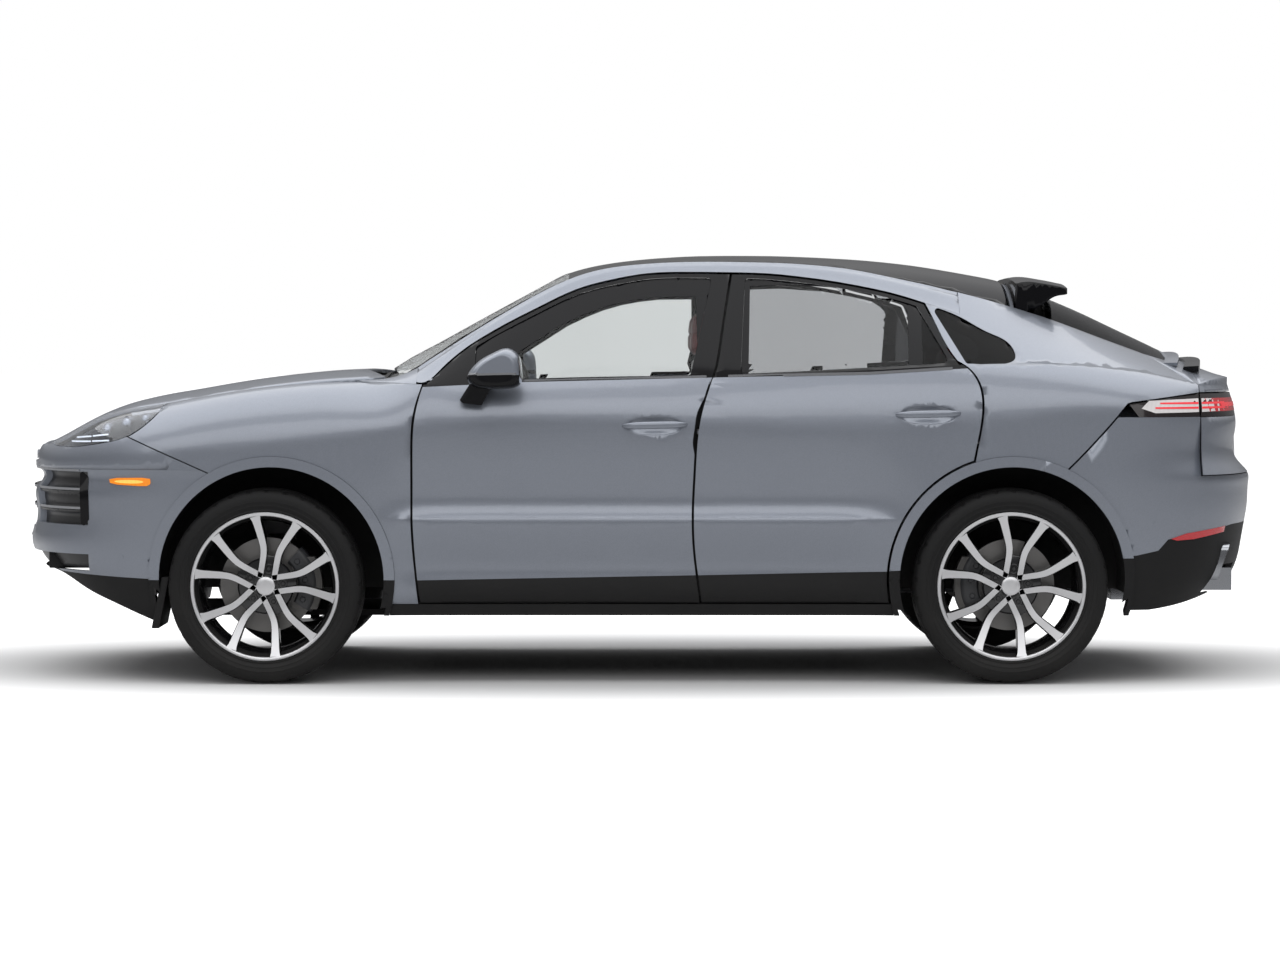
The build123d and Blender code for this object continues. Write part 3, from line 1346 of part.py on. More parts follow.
# --- running gear -------------------------------------------------------------------------
def ring(profile, segments=None):
    """Solid of revolution about Y from (y, r) points, at the origin."""
    face = make_face(Polyline(*[(r, y, 0) for y, r in profile], close=True))
    return revolve(face, Axis.Y, 360)


def make_tyre():
    half, r, bead = TYRE_WIDTH / 2, TYRE_RADIUS, RIM_RADIUS
    return ring([
        (-half + 22, bead), (-half + 6, bead + 13), (-half, 320), (-half + 8, 352),
        (-half + 26, 374), (-half + 50, r), (half - 50, r), (half - 26, 374), (half - 8, 352),
        (half, 322), (half - 2, RIM_LIP + 14), (half - RIM_FLANGE + 2, RIM_LIP + SEAT),
        (half - RIM_FLANGE - SEAT, RIM_LIP + SEAT), (half - RIM_FLANGE - SEAT, bead),
    ])


def make_rim():
    """Rim: barrel with its lips, hub disc and paired spokes; outboard face towards +Y."""
    half, r = TYRE_WIDTH / 2, RIM_RADIUS - SEAT
    barrel = ring([
        (-half + 2, RIM_LIP - 12), (-half + 20, r), (half - RIM_FLANGE, r),
        (half - RIM_FLANGE, RIM_LIP), (half - 4, RIM_LIP), (half - 4, RIM_LIP - 12),
        (half - 30, r - RIM_WALL - 4), (-half + 20, r - RIM_WALL), (-half + 2, RIM_LIP - 22),
    ])
    bore = HUB_BORE
    hub = ring([
        (HUB_FACE, bore), (HUB_FACE, 84), (HUB_FACE + 34, 84), (HUB_FACE + 40, 60),
        (HUB_FACE + 46, 37), (HUB_FACE + 48, 0), (HUB_FACE + 20, 0), (HUB_FACE + 20, bore),
    ])
    wheel = barrel + hub
    for pair in range(SPOKE_PAIRS):
        for lean in (-1, 1):
            wheel += Rot(0, 360 / SPOKE_PAIRS * pair, 0) * make_spoke(lean)
    return wheel


def make_spoke(lean):
    """One bar of a spoke pair: near parallel by the hub, then spreading to the rim."""
    centre, edges = [], ([], [])
    for radius, angle in ((60.0, 22.0), (140.0, 12.0), (RIM_RADIUS - RIM_WALL / 2, 18.0)):
        turn = radians(angle * lean)
        centre.append((radius * cos(turn), radius * sin(turn)))
    for i, (x, z) in enumerate(centre):
        before, after = centre[max(i - 1, 0)], centre[min(i + 1, 2)]
        run = hypot(after[0] - before[0], after[1] - before[1])
        across_x = -(after[1] - before[1]) / run * SPOKE_WIDTH / 2
        across_z = (after[0] - before[0]) / run * SPOKE_WIDTH / 2
        edges[0].append((x + across_x, z + across_z))
        edges[1].append((x - across_x, z - across_z))
    return Pos(0, HUB_FACE + 4, 0) * side_prism([[*edges[0]], [*edges[1][::-1]]], 0, SPOKE_DEPTH)


def make_disc(radius):
    """Brake disc with its bell, seated on the hub face of the rim."""
    back = HUB_FACE - DISC_SET - DISC_THICKNESS
    return ring([
        (HUB_FACE, HUB_BORE), (HUB_FACE, 100), (HUB_FACE - DISC_SET, 100),
        (HUB_FACE - DISC_SET, radius), (back, radius), (back, 88), (HUB_FACE - 10, 88),
        (HUB_FACE - 10, 56), (0, 56), (0, HUB_BORE),
    ])


def make_knuckle(disc_radius, top, caliper_side):
    """Knuckle at the origin of its wheel: post, spindle and brake caliper."""
    length = HUB_FACE - 1 + 80
    body = Pos(0, HUB_FACE - 1 - length / 2, 0) * Rot(90, 0, 0) * Cylinder(
        HUB_BORE - SPINDLE_CLEARANCE, length
    )
    post_y = -KINGPIN_INSET
    body += box(-30, 30, post_y - 20, post_y + 20, -KNUCKLE_TOP + BALL_GAP, top - BALL_GAP)
    body += box(-62, 62, post_y - 16, post_y + 12, -60, 60)
    for z in (-KNUCKLE_TOP, top):
        body -= upright(0, post_y, z - 40, z + 40, BALL_PIN_RADIUS + PIN_CLEARANCE)
    face = HUB_FACE - DISC_SET
    rear = face - DISC_THICKNESS
    front, back = face + DISC_CLEAR + 17, rear - DISC_CLEAR - 21
    caliper = ring([(front, 118), (front, 214), (back, 214), (back, 118)])
    clear = disc_radius + DISC_CLEAR
    caliper -= ring([
        (face + DISC_CLEAR, 0), (face + DISC_CLEAR, clear), (rear - DISC_CLEAR, clear),
        (rear - DISC_CLEAR, 0),
    ])
    x0, x1 = sorted((caliper_side * 95, caliper_side * 260))
    x2, x3 = sorted((caliper_side * 40, caliper_side * 130))
    body += (caliper & box(x0, x1, -200, 200, -95, 110)) + box(x2, x3, back, back + 14, -34, 34)
    return keep_largest(body)


def make_arms(lower_y, lower_seat, upper_y, upper_seat, top):
    """Lower and upper links of one wheel, from the frame to the knuckle's ball joints."""
    kingpin = WHEEL_CENTRE_Y - KINGPIN_INSET
    low, high = TYRE_RADIUS - KNUCKLE_TOP, TYRE_RADIUS + top
    lower = box(-24, 24, lower_y, kingpin + 20, low - 6, low + BALL_GAP - 6)
    lower += box(-40, 40, lower_y - 40, lower_y, low - 6, lower_seat)
    lower += upright(0, kingpin, low, low + 38, BALL_PIN_RADIUS)
    upper = box(-22, 22, upper_y, kingpin + 20, high - BALL_GAP + 6, high + 6)
    upper += upright(0, kingpin, high - 38, high, BALL_PIN_RADIUS)
    if upper_seat:
        upper += box(-40, 40, upper_y - 40, upper_y, upper_seat, high + 6)
    return [lower, upper]


# --- small outer pieces -------------------------------------------------------------------
def make_mirror():
    """Door mirror on its foot, which follows the door's shoulder."""
    outline = [
        (-663, 1200), (-613, 1258), (-560, 1288), (-505, 1303), (-468, 1280), (-452, 1215),
        (-459, 1165), (-510, 1147), (-590, 1146), (-645, 1160),
    ]
    x0, z0 = -555, 1222
    wires = []
    for inside, size in ((139, 0.72), (122, 0.92), (87, 1.0), (47, 0.99), (17, 0.9), (0, 0.62)):
        y = MIRROR_HALF_SPAN - inside
        points = [(x0 + (x - x0) * size, y, z0 + (z - z0) * size) for x, z in outline]
        wires.append(Wire(Spline(*points, periodic=True)))
    head = Solid.make_loft(wires)
    foot = side_prism([
        [(-694, 1104), (-682, 1092)], [(-682, 1092), (-610, 1084)], [(-610, 1084), (-560, 1168)],
        [(-560, 1168), (-640, 1190)], [(-640, 1190), (-694, 1104)],
    ], 925, 1005)
    skin = side_wall(spread(-740, -540, 5), always(1000), edge_z, 90, SEAT)
    return keep_largest(head + (foot - skin))


def make_grille():
    """Dark wall behind the bumper's openings, with the vanes that stand in them."""
    back = wrap_wall(BUMPER_HEIGHTS, nose_reach, -1560, -1, 10, None, BUMPER_WALL + SEAT)
    grille = back & box(-2600, -1950, -1200, 1200, 444, 822)
    for low in (664, 738):
        vane = wrap_wall([low, low + 8, low + 16], nose_reach, -1700, -1, BUMPER_WALL + 4, None, 3)
        middle = vane & box(-2600, -2251, -469, 469, 600, 800)
        grille += middle
        for side in (-1, 1):
            y0, y1 = sorted((side * 541, side * 1100))
            grille += vane & box(-2600, -2151, y0, y1, 600, 800)
    return keep_largest(grille)


def make_wipers():
    """Two wiper arms lying along the cowl."""
    sheet = crown_plate(
        spread(-1040, -980, 4), cowl_z, always(COWL_HALF), lambda x: cowl_z(x) - 52, 10, 2.3,
        -10 - SEAT,
    )
    return [sheet & box(-1020, -1004, -540, -50, 1100, 1300),
            sheet & box(-1020, -1004, 70, 540, 1100, 1300)]


# --- the vehicle --------------------------------------------------------------------------
def placed(shape, axle_x, side):
    """A wheel-side piece moved to its wheel; side -1 is the left."""
    shape = shape if side > 0 else mirror(shape, about=Plane.XZ)
    return Pos(axle_x, side * WHEEL_CENTRE_Y, TYRE_RADIUS) * shape


def sides(shapes):
    """The shapes of the right side and their twins on the left, as one list."""
    shapes = list(shapes) if isinstance(shapes, (list, tuple)) else [shapes]
    return shapes + [other_side(shape) for shape in shapes]


def main():
    os.makedirs("parts", exist_ok=True)
    save([make_floor()], "floor_pan")
    save([make_firewall()], "firewall")
    save(sides(make_wing()), "front_wings")
    save(sides(make_roof_rail()), "roof_rails")
    save(sides(make_pillars()), "body_pillars")
    save(sides(make_quarter_panel()), "quarter_panels")
    save(sides(make_sill()), "sills")
    front_house = make_wheelhouse(
        FRONT_AXLE_X, FRONT_ARCH_SHIFT, FRONT_LINER_Y, LINER_WALL, FRONT_LINK_WINDOW
    )
    rear_house = make_wheelhouse(
        REAR_AXLE_X, REAR_ARCH_SHIFT, WHEELHOUSE_INNER_Y, LINER_WALL, REAR_LINK_WINDOW
    )
    save(sides([front_house, rear_house]), "wheelhouses")
    save([make_front_rails(), make_rear_rails()], "chassis_frames")
    save(sides([
        make_flare(FRONT_AXLE_X, FRONT_ARCH_SHIFT), make_flare(REAR_AXLE_X, REAR_ARCH_SHIFT)
    ]), "arch_flares")
    save([make_roof()], "roof_panel")
    save([make_windscreen()], "windscreen")
    save(sides(make_quarter_glass()), "quarter_glass")
    save([make_front_bumper()], "front_bumper")
    save(sides(make_nose_panel()) + [make_nose_strip()], "nose_panels")
    save([make_grille()], "grille")
    save(sides(make_headlamp()), "headlamps")
    save([make_rear_bumper()], "rear_bumper")
    save(sides(make_tail_lamps()), "tail_lamps")
    save(make_wipers(), "wipers")
    brackets = sides(
        hinge_brackets(FRONT_HINGE_X, FRONT_HINGE_Y, PILLAR_Y)
        + hinge_brackets(REAR_HINGE_X, REAR_HINGE_Y, PILLAR_Y)
    )
    cowl = crown_plate(
        spread(-1140, -935, 6), cowl_z, always(COWL_HALF), lambda x: cowl_z(x) - 52, 80, 2.3,
        -SEAT,
    )
    save(brackets + [
        keep_largest(hinge_fork(BONNET_HINGE, -BONNET_HINGE_Y, BONNET_FORK) - cowl),
        keep_largest(hinge_fork(BONNET_HINGE, BONNET_HINGE_Y, BONNET_FORK) - cowl),
        *[hinge_fork(TAILGATE_HINGE, y, TAILGATE_FORK) for y in HATCH_HINGES],
    ], "hinge_brackets")
    front_arms = make_arms(RAIL_Y, 250, RAIL_Y + 50, 540, KNUCKLE_TOP)
    rear_arms = make_arms(RAIL_Y, 250, REAR_RAIL_SIDE, 0, REAR_KNUCKLE_TOP)
    save(sides(
        [Pos(FRONT_AXLE_X, 0, 0) * arm for arm in front_arms]
        + [Pos(REAR_AXLE_X, 0, 0) * arm for arm in rear_arms]
    ), "suspension_arms")
    front_knuckle = make_knuckle(FRONT_DISC_RADIUS, KNUCKLE_TOP, 1)
    rear_knuckle = make_knuckle(REAR_DISC_RADIUS, REAR_KNUCKLE_TOP, -1)
    save([placed(rear_knuckle, REAR_AXLE_X, side) for side in (-1, 1)], "rear_knuckles")
    save([make_engine()], "engine_block")
    save([make_dashboard()], "dashboard")
    save([make_steering_column()], "steering_column")
    save([make_steering_wheel()], "steering_wheel")
    save(sides(make_front_seat()), "front_seats")
    save([make_rear_seat()], "rear_seat")
    save([make_exhaust()], "exhaust")
    save(make_undertray(), "undertrays")

    save([make_bonnet()], "bonnet")
    save([make_tailgate()], "tailgate")
    save([make_rear_window()], "rear_window")
    save([make_roof_spoiler()], "roof_spoiler")
    save([make_lamp_bar()], "tail_lamp_bar")
    front_door, rear_door, door_mirror = make_front_door(), make_rear_door(), make_mirror()
    front_glass = make_glass(front_door_window(), (-700, 330))
    rear_glass = make_glass(rear_door_window(), (370, 1240))
    tyre, rim = make_tyre(), make_rim()
    front_disc, rear_disc = make_disc(FRONT_DISC_RADIUS), make_disc(REAR_DISC_RADIUS)
    for side, name in ((-1, "left"), (1, "right")):
        turn = other_side if side < 0 else (lambda shape: shape)
        save([turn(front_door)], f"front_door_{name}")
        save([turn(front_glass)], f"front_door_glass_{name}")
        save([turn(rear_door)], f"rear_door_{name}")
        save([turn(rear_glass)], f"rear_door_glass_{name}")
        save([turn(door_mirror)], f"mirror_{name}")
        save([placed(front_knuckle, FRONT_AXLE_X, side)], f"front_knuckle_{name}")
        for end, axle_x, disc in (
            ("front", FRONT_AXLE_X, front_disc), ("rear", REAR_AXLE_X, rear_disc)
        ):
            save([placed(tyre, axle_x, side)], f"{end}_tyre_{name}")
            save([placed(rim, axle_x, side)], f"{end}_rim_{name}")
            save([placed(disc, axle_x, side)], f"{end}_brake_disc_{name}")


main()
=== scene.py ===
"""Looks of a five-door coupe sport utility vehicle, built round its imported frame."""

import json
from math import atan2, cos, exp, log, pi, radians, sin

import bmesh
import bpy
from mathutils import Matrix, Vector
from mathutils.bvhtree import BVHTree


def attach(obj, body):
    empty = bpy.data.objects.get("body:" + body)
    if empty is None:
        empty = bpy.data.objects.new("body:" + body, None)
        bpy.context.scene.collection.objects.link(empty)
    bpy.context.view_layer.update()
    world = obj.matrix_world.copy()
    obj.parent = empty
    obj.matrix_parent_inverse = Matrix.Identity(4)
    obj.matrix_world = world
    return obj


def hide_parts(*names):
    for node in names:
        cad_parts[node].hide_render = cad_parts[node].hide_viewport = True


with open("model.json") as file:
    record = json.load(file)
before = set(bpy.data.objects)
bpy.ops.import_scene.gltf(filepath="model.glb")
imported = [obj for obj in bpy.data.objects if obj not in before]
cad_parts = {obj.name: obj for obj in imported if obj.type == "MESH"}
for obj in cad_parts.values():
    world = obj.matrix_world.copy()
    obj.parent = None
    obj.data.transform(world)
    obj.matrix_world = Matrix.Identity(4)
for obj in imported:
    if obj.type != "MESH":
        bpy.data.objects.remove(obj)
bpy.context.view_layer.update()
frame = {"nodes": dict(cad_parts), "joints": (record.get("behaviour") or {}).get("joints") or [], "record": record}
SCENE = bpy.context.scene
NODES = frame["nodes"]
BODY_OF = {n: body for body, names in frame["record"]["behaviour"]["bodies"].items() for n in names}
SHELL = BODY_OF["floor_pan"]
SIDES = (("left", -1), ("right", 1))

HUBS = {joint["name"]: joint["pos_m"] for joint in frame["joints"] if joint["name"].endswith("_left_spin")}
AXLES = {end: HUBS[f"{end}_left_spin"][0] for end in ("front", "rear")}
WHEEL_Y, TYRE_RADIUS = -HUBS["front_left_spin"][1], HUBS["front_left_spin"][2]


# --- shaders ------------------------------------------------------------------------------
def node_group(name, inputs, outputs):
    """An empty shader group with its sockets; returns it with its input and output nodes."""
    tree = bpy.data.node_groups.new(name, "ShaderNodeTree")
    for label, kind, value in inputs:
        socket = tree.interface.new_socket(label, in_out="INPUT", socket_type=kind)
        socket.default_value = value
    for label, kind in outputs:
        tree.interface.new_socket(label, in_out="OUTPUT", socket_type=kind)
    return tree, tree.nodes.new("NodeGroupInput"), tree.nodes.new("NodeGroupOutput")


def linked(tree, kind, settings=(), **sources):
    """A node whose inputs are set from values or wired from sockets, by name or as _number."""
    node = tree.nodes.new(kind)
    for field, value in dict(settings).items():
        setattr(node, field, value)
    for label, source in sources.items():
        socket = node.inputs[int(label[1:]) if label[0] == "_" else label.replace("_", " ")]
        if isinstance(source, bpy.types.NodeSocket):
            tree.links.new(source, socket)
        else:
            socket.default_value = source
    return node


def make_grain_group():
    """Moulded or tanned grain: small cells broken up by a finer noise."""
    tree, given, out = node_group(
        "grain", [("Scale", "NodeSocketFloat", 400.0), ("Cells", "NodeSocketFloat", 0.6)],
        [("Height", "NodeSocketFloat")],
    )
    place = tree.nodes.new("ShaderNodeTexCoord").outputs["Object"]
    cells = linked(tree, "ShaderNodeTexVoronoi", Vector=place, Scale=given.outputs["Scale"])
    fine = linked(tree, "ShaderNodeTexNoise", Vector=place, Scale=given.outputs["Scale"], Detail=3.0)
    mixed = linked(
        tree, "ShaderNodeMix", _0=given.outputs["Cells"], _2=fine.outputs["Fac"],
        _3=cells.outputs["Distance"],
    )
    tree.links.new(mixed.outputs[0], out.inputs["Height"])
    return tree


def make_dust_group():
    """Road film: a colour and a roughness that drift, more so near the ground."""
    tree, given, out = node_group(
        "road_film",
        [("Color", "NodeSocketColor", (0.5, 0.5, 0.5, 1)),
         ("Film", "NodeSocketColor", (0.3, 0.28, 0.25, 1)), ("Amount", "NodeSocketFloat", 0.1),
         ("Roughness", "NodeSocketFloat", 0.4), ("Top", "NodeSocketFloat", 0.5)],
        [("Color", "NodeSocketColor"), ("Roughness", "NodeSocketFloat")],
    )
    place = tree.nodes.new("ShaderNodeTexCoord").outputs["Object"]
    height = linked(tree, "ShaderNodeSeparateXYZ", Vector=place).outputs["Z"]
    low = linked(
        tree, "ShaderNodeMapRange", Value=height, _2=given.outputs["Top"], _1=0.0, _3=1.0, _4=0.15,
    ).outputs[0]
    cloud = linked(tree, "ShaderNodeTexNoise", Vector=place, Scale=7.0, Detail=6.0).outputs["Fac"]
    spread = linked(tree, "ShaderNodeMath", [("operation", "MULTIPLY")], _0=low, _1=cloud).outputs[0]
    share = linked(
        tree, "ShaderNodeMath", [("operation", "MULTIPLY")], _0=spread, _1=given.outputs["Amount"],
    ).outputs[0]
    colour = linked(
        tree, "ShaderNodeMix", [("data_type", "RGBA")], _0=share, _6=given.outputs["Color"],
        _7=given.outputs["Film"],
    ).outputs[2]
    rough = linked(
        tree, "ShaderNodeMath", [("operation", "ADD")], _0=share, _1=given.outputs["Roughness"],
    ).outputs[0]
    tree.links.new(colour, out.inputs["Color"])
    tree.links.new(rough, out.inputs["Roughness"])
    return tree


GRAIN, FILM = make_grain_group(), make_dust_group()


def new_material(name, colour, rough, **sockets):
    """A material whose shader has these plain values; returns it with its tree and shader."""
    material = bpy.data.materials.new(name)
    material.use_nodes = True
    tree = material.node_tree
    shader = tree.nodes["Principled BSDF"]
    shader.inputs["Base Color"].default_value = (*colour, 1)
    shader.inputs["Roughness"].default_value = rough
    for label, value in sockets.items():
        shader.inputs[label.replace("_", " ")].default_value = value
    return material, tree, shader


def add_film(tree, shader, colour, rough, amount, top=0.5):
    """Road film on a shader's colour and roughness, thickest below a height."""
    node = linked(
        tree, "ShaderNodeGroup", [("node_tree", FILM)], Color=(*colour, 1), Amount=amount,
        Roughness=rough, Top=top,
    )
    tree.links.new(node.outputs["Color"], shader.inputs["Base Color"])
    tree.links.new(node.outputs["Roughness"], shader.inputs["Roughness"])
    return node


def add_grain(tree, shader, scale, depth, cells, strength):
    """Grain on a shader's normal."""
    node = linked(tree, "ShaderNodeGroup", [("node_tree", GRAIN)], Scale=scale, Cells=cells)
    bump = linked(
        tree, "ShaderNodeBump", Height=node.outputs["Height"], Distance=depth, Strength=strength,
    )
    tree.links.new(bump.outputs["Normal"], shader.inputs["Normal"])


def coated(name, colour, rough, scale=500.0, depth=0.0002, amount=0.08, cells=0.6, strength=0.5, **sockets):
    """A surface with a slight film on it and a fine grain in it."""
    material, tree, shader = new_material(name, colour, rough, **sockets)
    add_film(tree, shader, colour, rough, amount)
    add_grain(tree, shader, scale, depth, cells, strength)
    return material


def metallic_lacquer():
    """Grey blue metallic under a clear coat: flakes of two tones."""
    dark, light = (0.165, 0.181, 0.212), (0.265, 0.287, 0.333)
    material, tree, shader = new_material(
        "grey_blue_metallic", dark, 0.34, Metallic=0.55, Coat_Weight=0.6, Coat_Roughness=0.07,
    )
    place = tree.nodes.new("ShaderNodeTexCoord").outputs["Object"]
    flake = linked(tree, "ShaderNodeTexVoronoi", Vector=place, Scale=1400.0).outputs["Color"]
    tone = linked(
        tree, "ShaderNodeMix", [("data_type", "RGBA")], _0=flake, _6=(*dark, 1), _7=(*light, 1),
    )
    film = add_film(tree, shader, dark, 0.34, 0.05, 0.45)
    tree.links.new(tone.outputs[2], film.inputs["Color"])
    return material


def machined_alloy():
    """Turned metal: fine rings about the axle."""
    material, tree, shader = new_material("machined_alloy", (0.66, 0.66, 0.67), 0.3, Metallic=0.85)
    place = tree.nodes.new("ShaderNodeTexCoord").outputs["Object"]
    fine = linked(tree, "ShaderNodeTexNoise", Vector=place, Scale=60.0, Detail=4.0).outputs["Fac"]
    rough = linked(tree, "ShaderNodeMapRange", Value=fine, _3=0.30, _4=0.42).outputs[0]
    tree.links.new(rough, shader.inputs["Roughness"])
    add_grain(tree, shader, 900.0, 0.00005, 0.0, 0.3)
    return material


def window_glass(name, colour, rough=0.0, coat=0.25):
    """Thin glass that light passes straight through, its tint drifting a little."""
    material, tree, shader = new_material(
        name, colour, rough, IOR=1.04, Transmission_Weight=1.0, Coat_Weight=coat, Coat_Roughness=0.0,
    )
    place = tree.nodes.new("ShaderNodeTexCoord").outputs["Object"]
    drift = linked(tree, "ShaderNodeTexNoise", Vector=place, Scale=1.5, Detail=1.0).outputs["Fac"]
    tone = linked(
        tree, "ShaderNodeMix", [("data_type", "RGBA")], _0=drift, _6=(*colour, 1),
        _7=(*[c * 0.93 for c in colour], 1),
    )
    tree.links.new(tone.outputs[2], shader.inputs["Base Color"])
    return material


def lit(name, colour, strength, rough=0.2):
    """A ribbed lens that glows in its own colour."""
    material, tree, shader = new_material(name, colour, rough, Coat_Weight=0.6)
    place = tree.nodes.new("ShaderNodeTexCoord").outputs["Object"]
    ribs = linked(tree, "ShaderNodeTexWave", Vector=place, Scale=60.0).outputs["Fac"]
    tone = linked(
        tree, "ShaderNodeMix", [("data_type", "RGBA")], _0=ribs, _6=(*[c * 0.75 for c in colour], 1),
        _7=(*colour, 1),
    )
    tree.links.new(tone.outputs[2], shader.inputs["Base Color"])
    tree.links.new(tone.outputs[2], shader.inputs["Emission Color"])
    shader.inputs["Emission Strength"].default_value = strength
    return material


# Grain cells per metre, their depth in metres, the share of road film, how much of the grain is
# cells rather than noise, and how strongly it shows.
GLOSSY = {"scale": 40.0, "depth": 0.00005, "amount": 0.02, "cells": 0.0, "strength": 0.1}
POLISHED = {"scale": 200.0, "depth": 0.00003, "cells": 0.0, "strength": 0.2}
OPTICAL = {"scale": 100.0, "depth": 0.00001, "amount": 0.02, "cells": 0.0, "strength": 0.1}
HIDE = {"scale": 350.0, "depth": 0.0006, "amount": 0.03, "cells": 0.9}

PAINT = metallic_lacquer()
ALLOY = machined_alloy()
GLOSS = coated("gloss_black", (0.005, 0.005, 0.006), 0.07, **GLOSSY, IOR=1.27)
TAIL_BLACK = coated("tail_black", (0.010, 0.006, 0.007), 0.10, **GLOSSY, Coat_Weight=0.3, IOR=1.4)
TRIM = coated(
    "grained_black", (0.009, 0.009, 0.0095), 0.55, 700.0, 0.0003, 0.05, Specular_IOR_Level=0.2,
)
LINER = coated("liner_felt", (0.014, 0.014, 0.015), 0.95, 300.0, 0.001, 0.2, 0.2)
SATIN = coated("satin_black", (0.012, 0.012, 0.013), 0.35, 300.0, 0.0001, 0.06, 0.2)
BRIGHT = coated("bright_trim", (0.55, 0.56, 0.58), 0.16, **POLISHED, amount=0.03, Metallic=1.0)
DARK_CHROME = coated("dark_chrome", (0.33, 0.34, 0.36), 0.18, **POLISHED, amount=0.08, Metallic=1.0)
WHEEL_BLACK = coated(
    "wheel_black", (0.008, 0.008, 0.009), 0.16, 200.0, 0.00005, 0.03, 0.0, 0.2, Coat_Weight=0.3,
)
RUBBER = coated(
    "tyre_rubber", (0.007, 0.007, 0.0073), 0.6, 900.0, 0.0003, 0.06, 0.3, Specular_IOR_Level=0.22,
)
IRON = coated("cast_iron", (0.16, 0.155, 0.15), 0.6, 250.0, 0.0006, 0.2, 0.3, Metallic=0.6)
DISC = coated("ground_disc", (0.20, 0.195, 0.19), 0.36, 600.0, 0.0001, 0.15, 0.0, 0.4, Metallic=0.8)
CALIPER = coated("caliper_grey", (0.045, 0.047, 0.052), 0.35, 300.0, 0.0002, 0.12, 0.2)
ENGINE = coated("engine_cast", (0.30, 0.30, 0.31), 0.5, 200.0, 0.0008, 0.1, 0.3, Metallic=0.8)
CHASSIS = coated("chassis_black", (0.012, 0.012, 0.013), 0.5, 200.0, 0.0003, 0.15, 0.2)
CARPET = coated("cabin_carpet", (0.020, 0.019, 0.019), 0.98, 1200.0, 0.002, 0.1, 0.1)
CABIN = coated("cabin_grained", (0.025, 0.025, 0.027), 0.6, 600.0, 0.0004, 0.05)
HEADLINING = coated("headlining", (0.030, 0.029, 0.028), 0.95, 900.0, 0.0005, 0.05, 0.2)
LEATHER = coated("black_leather", (0.022, 0.021, 0.021), 0.42, **HIDE)
RED_LEATHER = coated("dark_red_leather", (0.140, 0.014, 0.016), 0.42, **HIDE)
MIRROR = coated("mirror_glass", (0.85, 0.86, 0.88), 0.03, **OPTICAL, Metallic=1.0)
BULB = coated("projector_lens", (0.55, 0.58, 0.64), 0.05, **OPTICAL, Metallic=0.6, Coat_Weight=1.0)
PLATE = coated("blank_plate", (0.55, 0.56, 0.57), 0.45, 200.0, 0.0001, 0.1)
CLEAR = window_glass("clear_glass", (0.80, 0.82, 0.82))
TINTED = window_glass("tinted_glass", (0.60, 0.61, 0.62))
PRIVACY = window_glass("privacy_glass", (0.05, 0.052, 0.055))
LENS = window_glass("lamp_lens", (0.72, 0.75, 0.80), 0.0, 1.0)
RED = lit("red_lens", (0.42, 0.010, 0.016), 0.25)
RED_LINE = lit("red_line", (0.65, 0.02, 0.03), 0.7)
WHITE_LENS = lit("white_lens", (0.62, 0.60, 0.60), 0.25)
DAYLIGHT = lit("day_lamp", (0.92, 0.95, 1.0), 0.9)
AMBER = lit("amber_lens", (0.85, 0.25, 0.015), 0.45)
AMBER_CORE = lit("amber_core", (1.0, 0.50, 0.10), 0.8)


# --- meshes -------------------------------------------------------------------------------
def put(name, bm, materials, body, replaced=(), sharp=35):
    """Make a piece of a bmesh: smooth but for its sharp edges, riding on a body."""
    mesh = bpy.data.meshes.new(name)
    bm.to_mesh(mesh)
    bm.free()
    mesh.shade_smooth()
    mesh.set_sharp_from_angle(angle=radians(sharp))
    for material in materials:
        mesh.materials.append(material)
    piece = bpy.data.objects.new(name, mesh)
    SCENE.collection.objects.link(piece)
    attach(piece, body)
    if replaced:
        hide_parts(*replaced)
    return piece


def merge_in(bm, other):
    """Add another mesh to this one."""
    scratch = bpy.data.meshes.new("scratch")
    other.to_mesh(scratch)
    other.free()
    bm.from_mesh(scratch)
    bpy.data.meshes.remove(scratch)


def panel_mesh(node):
    """The shape of a CAD node with its loose triangles joined up."""
    bm = bmesh.new()
    bm.from_mesh(NODES[node].data)
    bmesh.ops.remove_doubles(bm, verts=bm.verts, dist=2e-5)
    bmesh.ops.dissolve_degenerate(bm, dist=1e-6, edges=bm.edges)
    bm.normal_update()
    return bm


def cut_along(bm, line):
    """Cut a mesh by the planes through a line of (x, z) points, each parallel to Y."""
    for (x0, z0), (x1, z1) in zip(line, line[1:]):
        across = Vector((z1 - z0, 0, x0 - x1))
        geometry = bm.verts[:] + bm.edges[:] + bm.faces[:]
        bmesh.ops.bisect_plane(bm, geom=geometry, plane_co=(x0, 0, z0), plane_no=across, dist=1e-6)


def height_on(line, x):
    """Height of a line of (x, z) points at x."""
    if x <= line[0][0]:
        return line[0][1]
    for (x0, z0), (x1, z1) in zip(line, line[1:]):
        if x <= x1:
            return z0 + (z1 - z0) * (x - x0) / (x1 - x0)
    return line[-1][1]


def paint_where(bm, index, wanted):
    """Give the faces that pass a test of their middle and normal one of the piece's materials."""
    for face in bm.faces:
        if wanted(face.calc_center_median(), face.normal):
            face.material_index = index


def panel(node, materials, zones=()):
    """A CAD panel shown smooth. zones are (material index, cut line or None, test of a face)."""
    bm = panel_mesh(node)
    for index, line, wanted in zones:
        if line:
            cut_along(bm, line)
        paint_where(bm, index, wanted)
    return put(node + "_panel", bm, materials, BODY_OF[node], [node], 32)


def dress(material, *names):
    """Give CAD nodes whose shape is right their finish."""
    for name in names:
        mesh = NODES[name].data
        mesh.materials.clear()
        mesh.materials.append(material)


